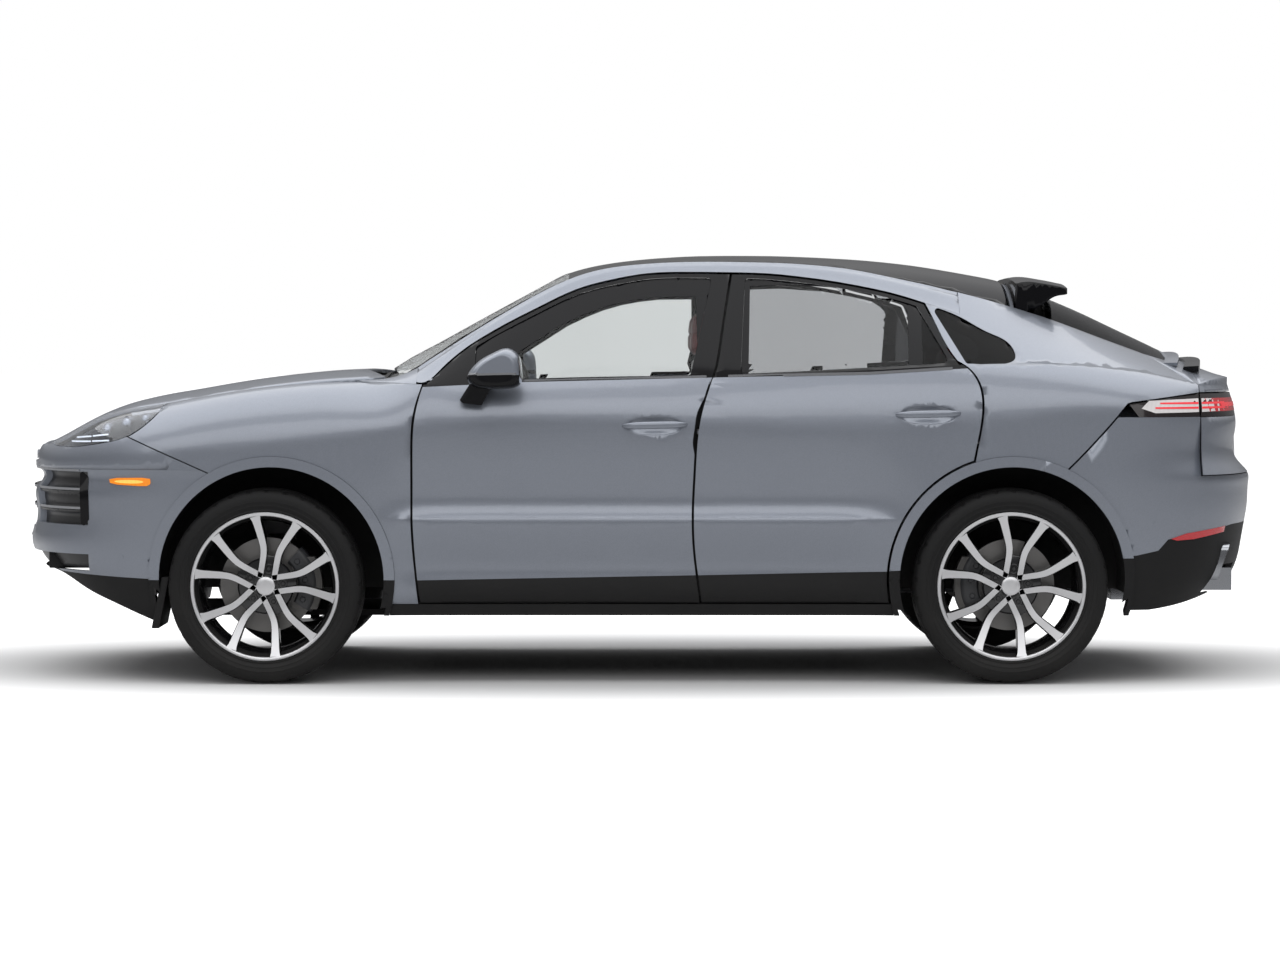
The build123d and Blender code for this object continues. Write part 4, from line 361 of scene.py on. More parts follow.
def surface_of(*names):
    """A tree to find points on the outside of some CAD nodes."""
    bm = bmesh.new()
    for name in names:
        bm.from_mesh(NODES[name].data)
    tree = BVHTree.FromBMesh(bm)
    bm.free()
    return tree


def side_point(tree, x, z, side, lift=0.0):
    """Point of the outer side at (x, z), moved outboard by lift."""
    hit = tree.ray_cast(Vector((x, side * 1.4, z)), Vector((0, -side, 0)))[0]
    return Vector((x, hit.y + side * lift, z)) if hit else None


def swept(bm, ring, places):
    """Draw a ring of (u, v) points out along a list of 4x4 places, as one closed solid."""
    start = end = bm.faces.new([bm.verts.new(places[0] @ Vector((u, v, 0))) for u, v in ring])
    for place in places[1:]:
        fresh = bmesh.ops.extrude_face_region(bm, geom=[end])["geom"]
        if end is not start and end.is_valid:
            bm.faces.remove(end)
        end = next(part for part in fresh if isinstance(part, bmesh.types.BMFace))
        for loop, (u, v) in zip(end.loops, ring):
            loop.vert.co = place @ Vector((u, v, 0))


def place_at(point, along, up=Vector((0, 0, 1)), width=1.0, height=1.0):
    """A section's place: u across, v up, drawn out along a direction."""
    w = along.normalized()
    u = up.cross(w).normalized()
    v = w.cross(u)
    return Matrix((
        (u.x * width, v.x * height, w.x, point.x),
        (u.y * width, v.y * height, w.y, point.y),
        (u.z * width, v.z * height, w.z, point.z),
        (0, 0, 0, 1),
    ))


def course(points):
    """The direction of travel at each point of a path."""
    last = len(points) - 1
    return [points[min(i + 1, last)] - points[max(i - 1, 0)] for i in range(len(points))]


def bar_along(name, points, ring, material, body, up=Vector((0, 0, 1)), sizes=None):
    """A solid bar of one section along points; nothing is made of fewer than three."""
    if len(points) < 3:
        return
    bm = bmesh.new()
    sizes = sizes or [1.0] * len(points)
    swept(bm, ring, [place_at(p, d, up, s, s) for p, d, s in zip(points, course(points), sizes)])
    bmesh.ops.remove_doubles(bm, verts=bm.verts, dist=1e-7)
    bmesh.ops.recalc_face_normals(bm, faces=bm.faces)
    put(name, bm, [material], body, sharp=40)


def oval(width, height, steps):
    """Points round an oval, the same angle apart."""
    turns = [2 * pi * i / steps for i in range(steps)]
    return [(width / 2 * cos(a), height / 2 * sin(a)) for a in turns]


def flat_bar(depth, height):
    """The section of a flat strip."""
    u, v = depth / 2, height / 2
    return [(-u, -v), (u, -v), (u, v), (-u, v)]


def block(size, centre, offset, segments=2, lean=0.0):
    """A block with softened edges, leaning along X by a share of its height."""
    bm = bmesh.new()
    bmesh.ops.create_cube(bm, size=1)
    bmesh.ops.scale(bm, vec=size, verts=bm.verts)
    bmesh.ops.bevel(
        bm, geom=bm.edges[:], offset=offset, segments=segments, profile=0.5, material=-1,
        affect="EDGES",
    )
    for vert in bm.verts:
        vert.co.x += lean * vert.co.z
    bmesh.ops.translate(bm, vec=centre, verts=bm.verts)
    return bm


def spun(bm, profile, steps):
    """Turn a closed ring of (radius, along) points about Y into a solid."""
    verts = [bm.verts.new((radius, along, 0)) for radius, along in profile]
    edges = [bm.edges.new(pair) for pair in zip(verts, verts[1:] + verts[:1])]
    bmesh.ops.spin(
        bm, geom=verts + edges, cent=(0, 0, 0), axis=(0, 1, 0), angle=2 * pi, steps=steps,
        use_merge=True, use_duplicate=False,
    )
    bmesh.ops.remove_doubles(bm, verts=bm.verts, dist=1e-6)
    bmesh.ops.recalc_face_normals(bm, faces=bm.faces)


def turned(profile, steps, shift=(0, 0, 0)):
    """A turned solid in a mesh of its own, moved to its place."""
    bm = bmesh.new()
    spun(bm, profile, steps)
    bmesh.ops.translate(bm, vec=shift, verts=bm.verts)
    return bm


# --- wheels, made about the origin with their outside along -Y ----------------------------
def to_wheel(bm, end, side):
    """Move a mesh made about the origin to one wheel."""
    if side > 0:
        bmesh.ops.scale(bm, vec=(1, -1, 1), verts=bm.verts)
        bmesh.ops.reverse_faces(bm, faces=bm.faces)
    bmesh.ops.translate(bm, vec=(AXLES[end], side * WHEEL_Y, TYRE_RADIUS), verts=bm.verts)


def from_axle(face):
    """A face's middle, and its distance from the axle."""
    middle = face.calc_center_median()
    return middle, Vector((middle.x, middle.z)).length


SPOKE_PAIRS = 5
BOLT_RADIUS = 0.068
BOLT_BEARINGS = [radians(80 + 360 / SPOKE_PAIRS * k) for k in range(SPOKE_PAIRS)]
SPOKE_ROOT, SPOKE_TIP, SPOKE_STEPS = 0.030, 0.2620, 17
SPLAY_START, SPLAY_SOFTNESS, SPLAY_SLOPE = 0.142, 0.013, 0.462
SPOKE_WIDTH = 0.0225


def spoke_path(way):
    """(distance out along the bolt's line, sideways) of one spoke, straight and then splayed."""
    path = []
    for i in range(SPOKE_STEPS + 1):
        along = SPOKE_ROOT + (SPOKE_TIP - SPOKE_ROOT) * i / SPOKE_STEPS
        splay = SPLAY_SOFTNESS * log(1 + exp((along - SPLAY_START) / SPLAY_SOFTNESS))
        path.append((along, way * (0.0275 + SPLAY_SLOPE * splay)))
    return path


def face_depth(radius):
    """How far outboard the machined face stands, by radius."""
    return 0.094 + 0.0410 * max(0.0, (radius - 0.09) / 0.19) ** 1.35


def add_spoke(bm, bolt, way):
    """One spoke of a pair, on one side of its bolt's line."""
    section = [
        (-0.5, 0.0), (-0.46, 0.0012), (0.46, 0.0012), (0.5, 0.0), (0.54, -0.004), (0.62, -0.030),
        (-0.62, -0.030), (-0.54, -0.004),
    ]
    out, across = Vector((cos(bolt), 0, sin(bolt))), Vector((-sin(bolt), 0, cos(bolt)))
    path = spoke_path(way)
    points = []
    for along, off in path:
        depth = face_depth((along**2 + off**2) ** 0.5)
        points.append(out * along + across * off + Vector((0, depth, 0)))
    places = []
    for (along, _), point, heading in zip(path, points, course(points)):
        flare = 0.010 * max(0, (along - 0.238) / 0.024) ** 2
        wide = SPOKE_WIDTH + 0.004 * (along / 0.15) ** 2 + flare
        places.append(place_at(point, heading, Vector((0, 1, 0)), wide))
    swept(bm, section, places)


def make_rim(end, side, name):
    """An alloy wheel: black barrel, machined lip, five spoke pairs, hub with bolts and a bare cap."""
    barrel = [
        (0.2885, 0.1315), (0.2890, 0.1340), (0.2865, 0.1365), (0.2790, 0.1365), (0.2755, 0.1345),
        (0.2735, 0.1270), (0.2690, 0.1100), (0.2610, 0.0800), (0.2530, 0.0500), (0.2500, -0.0500),
        (0.2570, -0.1100), (0.2760, -0.1345), (0.2880, -0.1345), (0.2880, -0.1300), (0.2700, -0.1260),
        (0.2640, -0.1050), (0.2580, -0.0500), (0.2600, 0.0500), (0.2680, 0.0900), (0.2720, 0.1180),
    ]
    hub = [(0.110, 0.060), (0.110, 0.078), (0.104, 0.084), (0.060, 0.086), (0.044, 0.0865), (0.044, 0.056)]
    bm = bmesh.new()
    spun(bm, barrel, 96)
    spun(bm, hub, 60)
    for face in bm.faces:
        middle, radius = from_axle(face)
        if middle.y > 0.1250 and radius > 0.2725:
            face.material_index = 1
    for bolt in BOLT_BEARINGS:
        for way in (-1, 1):
            add_spoke(bm, bolt, way)
    bm.normal_update()
    for face in bm.faces:
        middle, radius = from_axle(face)
        machined = radius < 0.281 and middle.y > max(0.0925, face_depth(radius) - 0.001)
        if len(face.verts) == 4 and abs(face.normal.y) > 0.9 and machined:
            face.material_index = 1
    cap = turned([
        (0.0001, 0.1010), (0.020, 0.1004), (0.031, 0.0990), (0.0355, 0.0970), (0.0370, 0.0945),
        (0.0370, 0.0860), (0.0001, 0.0860),
    ], 48)
    for face in cap.faces:
        face.material_index = 1
    merge_in(bm, cap)
    bolt_head = [(0.0001, 0.0925), (0.0075, 0.0925), (0.0095, 0.0905), (0.0100, 0.086), (0.0001, 0.086)]
    bolt_seat = [(0.0160, 0.0885), (0.0175, 0.0895), (0.0190, 0.0885), (0.0190, 0.080), (0.0160, 0.080)]
    for bolt in BOLT_BEARINGS:
        web = block((0.088, 0.022, 0.050), (0.076, 0.074, 0), 0.004)
        bmesh.ops.rotate(web, cent=(0, 0, 0), matrix=Matrix.Rotation(-bolt, 3, "Y"), verts=web.verts)
        merge_in(bm, web)
        at = (cos(bolt) * BOLT_RADIUS, 0.0, sin(bolt) * BOLT_RADIUS)
        merge_in(bm, turned(bolt_head, 6, at))
        merge_in(bm, turned(bolt_seat, 24, at))
    bmesh.ops.scale(bm, vec=(1, -1, 1), verts=bm.verts)
    bmesh.ops.recalc_face_normals(bm, faces=bm.faces)
    to_wheel(bm, end, side)
    put(
        f"{end}_alloy_{name}", bm, [WHEEL_BLACK, ALLOY], f"{end}_wheel_{name}",
        [f"{end}_rim_{name}"], 30,
    )


TREAD_STEPS = 132
SHOULDER_NOTCH = 0.3595, 0.0895, 0.134, 4, 0   # least radius, nearest and furthest |y|, every, offset
RIB_NOTCH = 0.3765, 0.045, 0.0725, 6, 3
NOTCH_DEPTH = 0.0016


def make_tyre(end, side, name):
    """A tyre with a protecting rib, plain sidewalls, grooves round it and notched shoulders."""
    half = [
        (0.2700, 0.1180), (0.2760, 0.1290), (0.2895, 0.1310), (0.2915, 0.1350), (0.2945, 0.1360),
        (0.2975, 0.1352), (0.3000, 0.1340), (0.3120, 0.1382), (0.3135, 0.1392), (0.3160, 0.1394),
        (0.3175, 0.1388), (0.3290, 0.1412), (0.3300, 0.1420), (0.3320, 0.1420), (0.3330, 0.1410),
        (0.3450, 0.1400), (0.3540, 0.1362), (0.3640, 0.1300), (0.3700, 0.1235), (0.3735, 0.1165),
        (0.3755, 0.1080), (0.3772, 0.0890), (0.3700, 0.0860), (0.3700, 0.0770), (0.3778, 0.0740),
        (0.3793, 0.0440), (0.3712, 0.0410), (0.3712, 0.0300), (0.3795, 0.0270), (0.3797, 0.0100),
    ]
    inside = [(0.262, -0.10), (0.262, 0.10)]
    bm = bmesh.new()
    spun(bm, half + [(radius, -along) for radius, along in half[::-1]] + inside, TREAD_STEPS)
    bm.normal_update()
    notched = []
    for face in bm.faces:
        middle, radius = from_axle(face)
        step = int(round((atan2(middle.z, middle.x) / (2 * pi) * TREAD_STEPS) - 0.5)) % TREAD_STEPS
        for least, near, far, every, offset in (SHOULDER_NOTCH, RIB_NOTCH):
            if radius > least and near < abs(middle.y) < far and step % every == offset:
                notched.append(face)
    bmesh.ops.inset_region(bm, faces=notched, thickness=0.0012, depth=0.0)
    for face in notched:
        for vert in face.verts:
            vert.co -= Vector((vert.co.x, 0, vert.co.z)).normalized() * NOTCH_DEPTH
    bmesh.ops.recalc_face_normals(bm, faces=bm.faces)
    to_wheel(bm, end, side)
    put(f"{end}_tread_{name}", bm, [RUBBER], f"{end}_wheel_{name}", [f"{end}_tyre_{name}"], 24)


CALIPER_SPANS = {"front": (-32, 80), "rear": (140, 66)}   # first bearing and length, in degrees


def make_caliper(end, side, name):
    """A caliper housing straddling the disc, with its bolt bosses."""
    start, span = CALIPER_SPANS[end]
    profile = [
        (0.118, -0.034), (0.176, -0.034), (0.192, -0.028), (0.200, -0.014), (0.202, 0.010),
        (0.198, 0.026), (0.186, 0.036), (0.170, 0.040), (0.128, 0.038), (0.118, 0.030),
    ]
    boss = [(0.0001, 0.046), (0.009, 0.046), (0.011, 0.043), (0.012, 0.030), (0.0001, 0.030)]
    bm = bmesh.new()
    face = bm.faces.new([bm.verts.new((radius, along, 0)) for radius, along in profile])
    first = Matrix.Rotation(-radians(start), 3, "Y")
    bmesh.ops.rotate(bm, cent=(0, 0, 0), matrix=first, verts=bm.verts)
    bmesh.ops.spin(
        bm, geom=bm.verts[:] + bm.edges[:] + [face], cent=(0, 0, 0), axis=(0, -1, 0),
        angle=radians(span), steps=14, use_merge=False, use_duplicate=False,
    )
    for bearing in (start + 10, start + span * 0.5, start + span - 10):
        at = radians(bearing)
        merge_in(bm, turned(boss, 16, (cos(at) * 0.150, 0, sin(at) * 0.150)))
    bmesh.ops.translate(bm, vec=(0, -0.008, 0), verts=bm.verts)
    bmesh.ops.scale(bm, vec=(1, -1, 1), verts=bm.verts)
    bmesh.ops.recalc_face_normals(bm, faces=bm.faces)
    to_wheel(bm, end, side)
    body = BODY_OF[f"front_knuckle_{name}" if end == "front" else "rear_knuckles"]
    put(f"{end}_caliper_{name}", bm, [CALIPER], body, sharp=30)


# --- fixed and moving panels: lines of (x, z) where one finish meets another --------------
CLADDING = [(-1.10, 0.402), (-0.869, 0.402), (0.235, 0.422), (0.970, 0.437), (1.35, 0.440)]
NOSE_LINE = [(-2.52, 0.505), (-2.41, 0.500), (-2.281, 0.426), (-1.863, 0.406), (-1.60, 0.402)]
TAIL_LINE = [(1.60, 0.499), (1.926, 0.499), (2.015, 0.518), (2.054, 0.561), (2.336, 0.611), (2.50, 0.615)]
FLARE_LINE = [(-2.30, 0.404), (-0.90, 0.404), (0.90, 0.437), (1.44, 0.460), (1.45, 0.489), (2.30, 0.489)]
BELT = [(-0.90, 1.150), (-0.694, 1.160), (-0.454, 1.172), (0.30, 1.190), (0.90, 1.203), (1.26, 1.2245)]
FRONT_VIEW = [
    (-0.62, 1.20), (-0.47, 1.29), (-0.31, 1.392), (-0.234, 1.429), (-0.155, 1.460), (-0.076, 1.483),
    (0.002, 1.497), (0.081, 1.506), (0.30, 1.508),
]
REAR_VIEW = [
    (0.36, 1.535), (0.45, 1.548), (0.60, 1.553), (0.85, 1.536), (0.97, 1.512), (1.03, 1.475), (1.2, 1.30),
]
MIRROR_BODY_Y = 1.0     # the mirror's shell lies further out than this, its foot nearer


def above(line):
    return lambda middle, normal: middle.z > height_on(line, middle.x)


def below(line):
    return lambda middle, normal: middle.z < height_on(line, middle.x)


def ahead_of(x):
    return lambda middle, normal: middle.x < x


def behind(x):
    return lambda middle, normal: middle.x > x


def faces_down(least):
    return lambda middle, normal: normal.z < -least


def in_cabin(middle, normal):
    """The inner side of a door, below its window."""
    return abs(middle.y) < 0.872 and middle.z < 1.2


def upright(foot, head):
    """A line up a window, from one X at its foot to another at its head."""
    return [(foot, 1.0), (head, 1.7)]


def make_panels():
    """The painted, trimmed and glazed panels, and the finish of every other CAD piece."""
    for name, side in SIDES:
        make_door("front", name, side)
        make_door("rear", name, side)
        panel(f"front_door_glass_{name}", [CLEAR, GLOSS], [
            (1, FRONT_VIEW, above(FRONT_VIEW)),
            (1, upright(-0.502, -0.502), ahead_of(-0.502)),
            (1, upright(0.232, 0.218), behind(0.226)),
        ])
        panel(f"rear_door_glass_{name}", [TINTED, GLOSS, PRIVACY], [
            (1, REAR_VIEW, above(REAR_VIEW)),
            (1, upright(1.040, 1.062), behind(1.05)),
            (2, upright(1.092, 1.118), behind(1.105)),
            (1, upright(0.418, 0.440), ahead_of(0.43)),
        ])
        panel(f"mirror_{name}", [PAINT, GLOSS, BRIGHT, MIRROR], [
            (1, [(-0.75, 1.196), (-0.4, 1.205)], lambda m, n: m.z < 1.2015),
            (2, [(-0.75, 1.204), (-0.4, 1.213)],
             lambda m, n: 1.2015 < m.z < 1.2095 and n.x < 0.6 and abs(m.y) > MIRROR_BODY_Y),
            (3, None, lambda m, n: n.x > 0.85 and abs(m.y) > MIRROR_BODY_Y),
        ])
    for node in ("front_wings", "quarter_panels", "bonnet", "nose_panels", "tailgate"):
        panel(node, [PAINT, CHASSIS], [(1, None, faces_down(0.75))])
    panel("roof_rails", [PAINT, HEADLINING], [(1, None, faces_down(0.6))])
    panel("roof_panel", [GLOSS, HEADLINING], [(1, None, faces_down(0.6))])
    for node, line in (("front_bumper", NOSE_LINE), ("rear_bumper", TAIL_LINE), ("arch_flares", FLARE_LINE)):
        panel(node, [PAINT, TRIM], [(1, line, below(line))])
    for node, material, slot in (
        ("roof_spoiler", GLOSS, "gloss_black"), ("windscreen", CLEAR, "clear_glass"),
        ("rear_window", PRIVACY, "dark_glass"), ("quarter_glass", PRIVACY, "dark_glass"),
        ("steering_wheel", LEATHER, "cabin_plastic"), ("grille", SATIN, "black_trim"),
        ("tail_lamps", TAIL_BLACK, "lamp_red"), ("tail_lamp_bar", TAIL_BLACK, "lamp_red"),
    ):
        panel(node, [material])
    dress(TRIM, "sills", "undertrays", "wipers")
    dress(LINER, "wheelhouses")
    dress(CHASSIS, "floor_pan", "firewall", "body_pillars", "chassis_frames")
    dress(IRON, "hinge_brackets", "suspension_arms", "rear_knuckles")
    dress(ENGINE, "engine_block")
    dress(CABIN, "dashboard", "steering_column")
    dress(DARK_CHROME, "exhaust")
    for name, _ in SIDES:
        dress(IRON, f"front_knuckle_{name}")
        dress(DISC, f"front_brake_disc_{name}", f"rear_brake_disc_{name}")


HANDLES = {"front": (0.0595, 1.0050), "rear": (1.1175, 1.0480)}   # (x, z) of each pull's middle
GRIP_LENGTH, GRIP_HEIGHT, GRIP_DEPTH, GRIP_MESH = 0.108, 0.036, 0.024, 0.009
PULL_LENGTH, PULL_REACH = 0.126, 0.028
WAIST_ENDS = {"front": (-0.640, 0.300), "rear": (0.345, 1.215)}
DOOR_SKIN_Y = 0.925     # the outer skin lies further out than this


def press_grip(bm, side, x, z):
    """Press a rounded hollow into a door's outer skin, on a finer mesh there."""
    def near(face):
        if face.normal.y * side < 0.3 or face.verts[0].co.y * side < 0.9:
            return False
        xs, zs = [v.co.x for v in face.verts], [v.co.z for v in face.verts]
        return (
            min(xs) < x + GRIP_LENGTH and max(xs) > x - GRIP_LENGTH
            and min(zs) < z + GRIP_HEIGHT and max(zs) > z - GRIP_HEIGHT
        )

    def slice_at(place, normal):
        faces = [f for f in bm.faces if near(f)]
        geometry = list({v for f in faces for v in f.verts} | {e for f in faces for e in f.edges}) + faces
        bmesh.ops.bisect_plane(bm, geom=geometry, plane_co=place, plane_no=normal, dist=1e-6)

    count = int(2 * GRIP_LENGTH / GRIP_MESH) + 1
    for k in range(count + 1):
        slice_at((x - GRIP_LENGTH + 2 * GRIP_LENGTH * k / count, 0, 0), (1, 0, 0))
    count = max(6, int(2 * GRIP_HEIGHT / (GRIP_MESH * 0.6)))
    for k in range(count + 1):
        slice_at((0, 0, z - GRIP_HEIGHT + 2 * GRIP_HEIGHT * k / count), (0, 0, 1))
    for vert in bm.verts:
        u, v = (vert.co.x - x) / GRIP_LENGTH, (vert.co.z - z) / GRIP_HEIGHT
        reach = abs(u) ** 2.6 + abs(v) ** 2.2
        if reach < 1 and vert.co.y * side > DOOR_SKIN_Y and vert.normal.y * side > 0.3:
            vert.co.y -= side * GRIP_DEPTH * (1 - reach) ** 1.3


def make_door(end, name, side):
    """A door's skin with its pressed grip hollow, its pull and its waist strip."""
    node = f"{end}_door_{name}"
    x, z = HANDLES[end]
    bm = panel_mesh(node)
    press_grip(bm, side, x, z - 0.002)
    bm.normal_update()
    cut_along(bm, CLADDING)
    cut_along(bm, BELT)
    bm.normal_update()
    paint_where(bm, 1, below(CLADDING))
    paint_where(bm, 2, above(BELT))
    paint_where(bm, 3, in_cabin)
    put(node + "_panel", bm, [PAINT, TRIM, GLOSS, CABIN], BODY_OF[node], [node], 30)
    tree = surface_of(node)
    points, sizes = [], []
    for k in range(25):
        t = -1 + k / 12
        lift = PULL_REACH * (1 - abs(t) ** 6) - 0.003
        points.append(side_point(tree, x + PULL_LENGTH * t, z + 0.003 * t, side, lift))
        sizes.append(0.45 + 0.55 * (1 - abs(t) ** 4))
    ring = [(u, v if v > 0 else v * 0.85) for u, v in oval(0.0120, 0.0300, 16)]
    bar_along(f"{end}_pull_{name}", points, ring, PAINT, BODY_OF[node], sizes=sizes)
    first, last = WAIST_ENDS[end]
    along = [first + (last - first) * k / 24 for k in range(25)]
    line = [side_point(tree, at, height_on(BELT, at) + 0.004, side, 0.001) for at in along]
    strip = [(-0.003, -0.0055), (0.003, -0.0055), (0.0035, 0.0), (0.002, 0.0055), (-0.003, 0.0055)]
    bar_along(
        f"{end}_waist_strip_{name}", [p for p in line if p], strip, BRIGHT, BODY_OF[node],
    )


# --- lamps, grille and small fittings -----------------------------------------------------
def rounded(points, passes=1, keep=0.28):
    """Round the corners of an outline by cutting each of them, once or more."""
    for _ in range(passes):
        cut = []
        for (x0, z0), (x1, z1) in zip(points, points[1:] + points[:1]):
            cut.append((x0 + (x1 - x0) * keep, z0 + (z1 - z0) * keep))
            cut.append((x1 + (x0 - x1) * keep, z1 + (z0 - z1) * keep))
        points = cut
    return points


def patch(name, outline, nodes, aim, lift, thick, material, step, slot=None):
    """A thin plate laid on the outside of some nodes. aim is the way it faces; outline is in
    (along, z), where along is X for a plate that faces sideways and Y for one facing fore or aft."""
    tree = surface_of(*nodes)
    aim = Vector(aim)
    flat = abs(aim.y) > 0.5
    along_axis, out_axis, reach = (0, 1, 1.5) if flat else (1, 0, 3.2)
    bm = bmesh.new()
    start = []
    for along, z in outline:
        spot = aim * reach
        spot[along_axis], spot[2] = along, z
        start.append(bm.verts.new(spot))
    bm.faces.new(start)
    for axis, values in ((along_axis, [a for a, _ in outline]), (2, [z for _, z in outline])):
        low, high = min(values), max(values)
        count = int((high - low) / step)
        normal = Vector([float(i == axis) for i in range(3)])
        for k in range(1, count + 1):
            geometry = bm.verts[:] + bm.edges[:] + bm.faces[:]
            at = normal * (low + (high - low) * k / (count + 1))
            bmesh.ops.bisect_plane(bm, geom=geometry, plane_co=at, plane_no=normal)
    missed, found = [], []
    for vert in bm.verts:
        hit = tree.ray_cast(vert.co, -aim)[0]
        if hit is None:
            missed.append(vert)
        else:
            vert.co = hit + aim * lift
            found.append(vert)
    if not found:
        raise RuntimeError(name + " finds no surface")
    for vert in missed:
        def gap(other):
            return Vector((other.co[along_axis] - vert.co[along_axis], other.co.z - vert.co.z)).length
        vert.co[out_axis] = min(found, key=gap).co[out_axis]
    fresh = bmesh.ops.extrude_face_region(bm, geom=bm.faces[:])["geom"]
    inner = [v for v in fresh if isinstance(v, bmesh.types.BMVert)]
    bmesh.ops.translate(bm, vec=-aim * thick, verts=inner)
    bmesh.ops.recalc_face_normals(bm, faces=bm.faces)
    put(name, bm, [material], BODY_OF[nodes[0]], sharp=40)


def sensor(x, z):
    """The outline of a parking sensor."""
    return [(x + u, z + v) for u, v in oval(0.024, 0.024, 20)]


def tail_line(start, end, z, half_start):
    """The outline of one lit line in a tail lamp, 8 mm high at its rear."""
    return [(start, z - half_start), (start, z + half_start), (end, z + 0.004), (end, z - 0.004)]


LINE_HEIGHTS = (1.072, 1.090)
# Plates on each side: name with a place for the side, outline, node, lift, thickness, finish, mesh
# step, slot.
SIDE_PLATES = [
    ("side_marker_{}", rounded(
        [(-2.061, 0.800), (-2.055, 0.776), (-1.912, 0.768), (-1.893, 0.778), (-1.896, 0.803)], 1, 0.2,
    ), "front_bumper", 0.0035, 0.008, AMBER, 0.02, "lamp_red"),
    ("marker_core_{}", rounded([(-2.040, 0.793), (-2.036, 0.781), (-1.925, 0.778), (-1.920, 0.793)], 2),
     "front_bumper", 0.0045, 0.003, AMBER_CORE, 0.02, "lamp_red"),
    # The rear reflector takes the red lens finish, which glows: painted light, since a reflector is no lamp and
    # only returns light.
    ("rear_reflector_{}", [
        (2.066, 0.563), (2.130, 0.583), (2.302, 0.606), (2.296, 0.583), (2.160, 0.560), (2.090, 0.556),
    ], "rear_bumper", 0.0035, 0.010, RED, 0.03, "lamp_red"),
    ("parking_sensor_{}_0", sensor(-2.016, 0.490), "front_bumper", 0.0015, 0.004, PAINT, 0.1, None),
    ("parking_sensor_{}_1", sensor(2.006, 0.622), "rear_bumper", 0.0015, 0.004, PAINT, 0.1, None),
    ("grille_frame_{}", [
        (-2.172, 0.822), (-2.148, 0.802), (-2.146, 0.636), (-2.166, 0.612), (-2.178, 0.616), (-2.182, 0.816),
    ], "front_bumper", 0.002, 0.012, GLOSS, 0.03, "gloss_black"),
    ("tail_lens_front_{}", [(1.945, 1.070), (1.975, 1.100), (2.182, 1.108), (2.182, 1.055), (2.000, 1.052)],
     "tail_lamps", 0.0015, 0.006, WHITE_LENS, 0.03, "lamp_clear"),
    ("tail_lens_rear_{}", [(2.196, 1.055), (2.196, 1.108), (2.330, 1.106), (2.330, 1.060)],
     "tail_lamp_bar", 0.0015, 0.006, WHITE_LENS, 0.03, "lamp_clear"),
] + [
    (f"tail_line_front_{{}}_{k}", tail_line(2.000 + 0.02 * k, 2.181, z, 0.003), "tail_lamps", 0.0030,
     0.004, RED_LINE, 0.03, "lamp_red") for k, z in enumerate(LINE_HEIGHTS)
] + [
    (f"tail_line_rear_{{}}_{k}", tail_line(2.197, 2.330, z, 0.004), "tail_lamp_bar", 0.0030, 0.004,
     RED_LINE, 0.03, "lamp_red") for k, z in enumerate(LINE_HEIGHTS)
]


def strip_outline(half_width, low, high):
    """A rectangle across the vehicle, from one height to another."""
    return [(-half_width, low), (-half_width, high), (half_width, high), (half_width, low)]


def plate_outline(low, high):
    """A number plate with its corners cut, 520 mm wide."""
    return rounded([(-0.26, low), (0.26, low), (0.26, high), (-0.26, high)], 1, 0.06)


def make_plates():
    """Markers, reflectors, sensors, lamp lenses and lines, and the blank number plates."""
    for name, side in SIDES:
        for piece, outline, node, *finish in SIDE_PLATES:
            patch(piece.format(name), outline, [node], (0, side, 0), *finish)
    rear, front = (1, 0, 0), (-1, 0, 0)
    for piece, half_width, low, high, lift, material in (
        ("tail_light_band", 0.70, 1.074, 1.090, 0.0025, RED_LINE),
        ("tail_light_lens", 0.80, 1.056, 1.108, 0.0012, RED),
    ):
        outline = strip_outline(half_width, low, high)
        patch(piece, outline, ["tail_lamp_bar"], rear, lift, 0.006, material, 0.05, "lamp_red")
    patch("rear_plate", plate_outline(0.86, 0.97), ["tailgate"], rear, 0.004, 0.008, PLATE, 0.2)
    nose = ["front_bumper", "grille"]
    patch("front_plate", plate_outline(0.545, 0.655), nose, front, 0.006, 0.010, PLATE, 0.2)


def make_nose_blocks():
    """The deflectors ahead of the front wheels, and the walls inside the lower intakes."""
    for name, side in SIDES:
        deflector = block((0.030, 0.300, 0.200), (-1.862, side * 0.780, 0.315), 0.004, lean=0.20)
        put(f"wheel_deflector_{name}", deflector, [TRIM], SHELL, sharp=30)
        wall = block((0.190, 0.012, 0.084), (-2.240, side * 0.640, 0.476), 0.004)
        put(f"intake_wall_{name}", wall, [TRIM], SHELL, sharp=30)


NOSE_CENTRE = -1.9      # X about which bearings round the nose are taken


def nose_points(tree, z, start, end, count, lift, kept):
    """Points round the outside of the nose at one height, from one bearing to another."""
    points = []
    for k in range(count + 1):
        bearing = radians(start + (end - start) * k / count)
        out = Vector((cos(bearing), sin(bearing), 0))
        hit = tree.ray_cast(Vector((NOSE_CENTRE, 0, z)) + out * 3.0, -out)[0]
        if hit and kept(hit + out * lift):
            points.append(hit + out * lift)
    return points


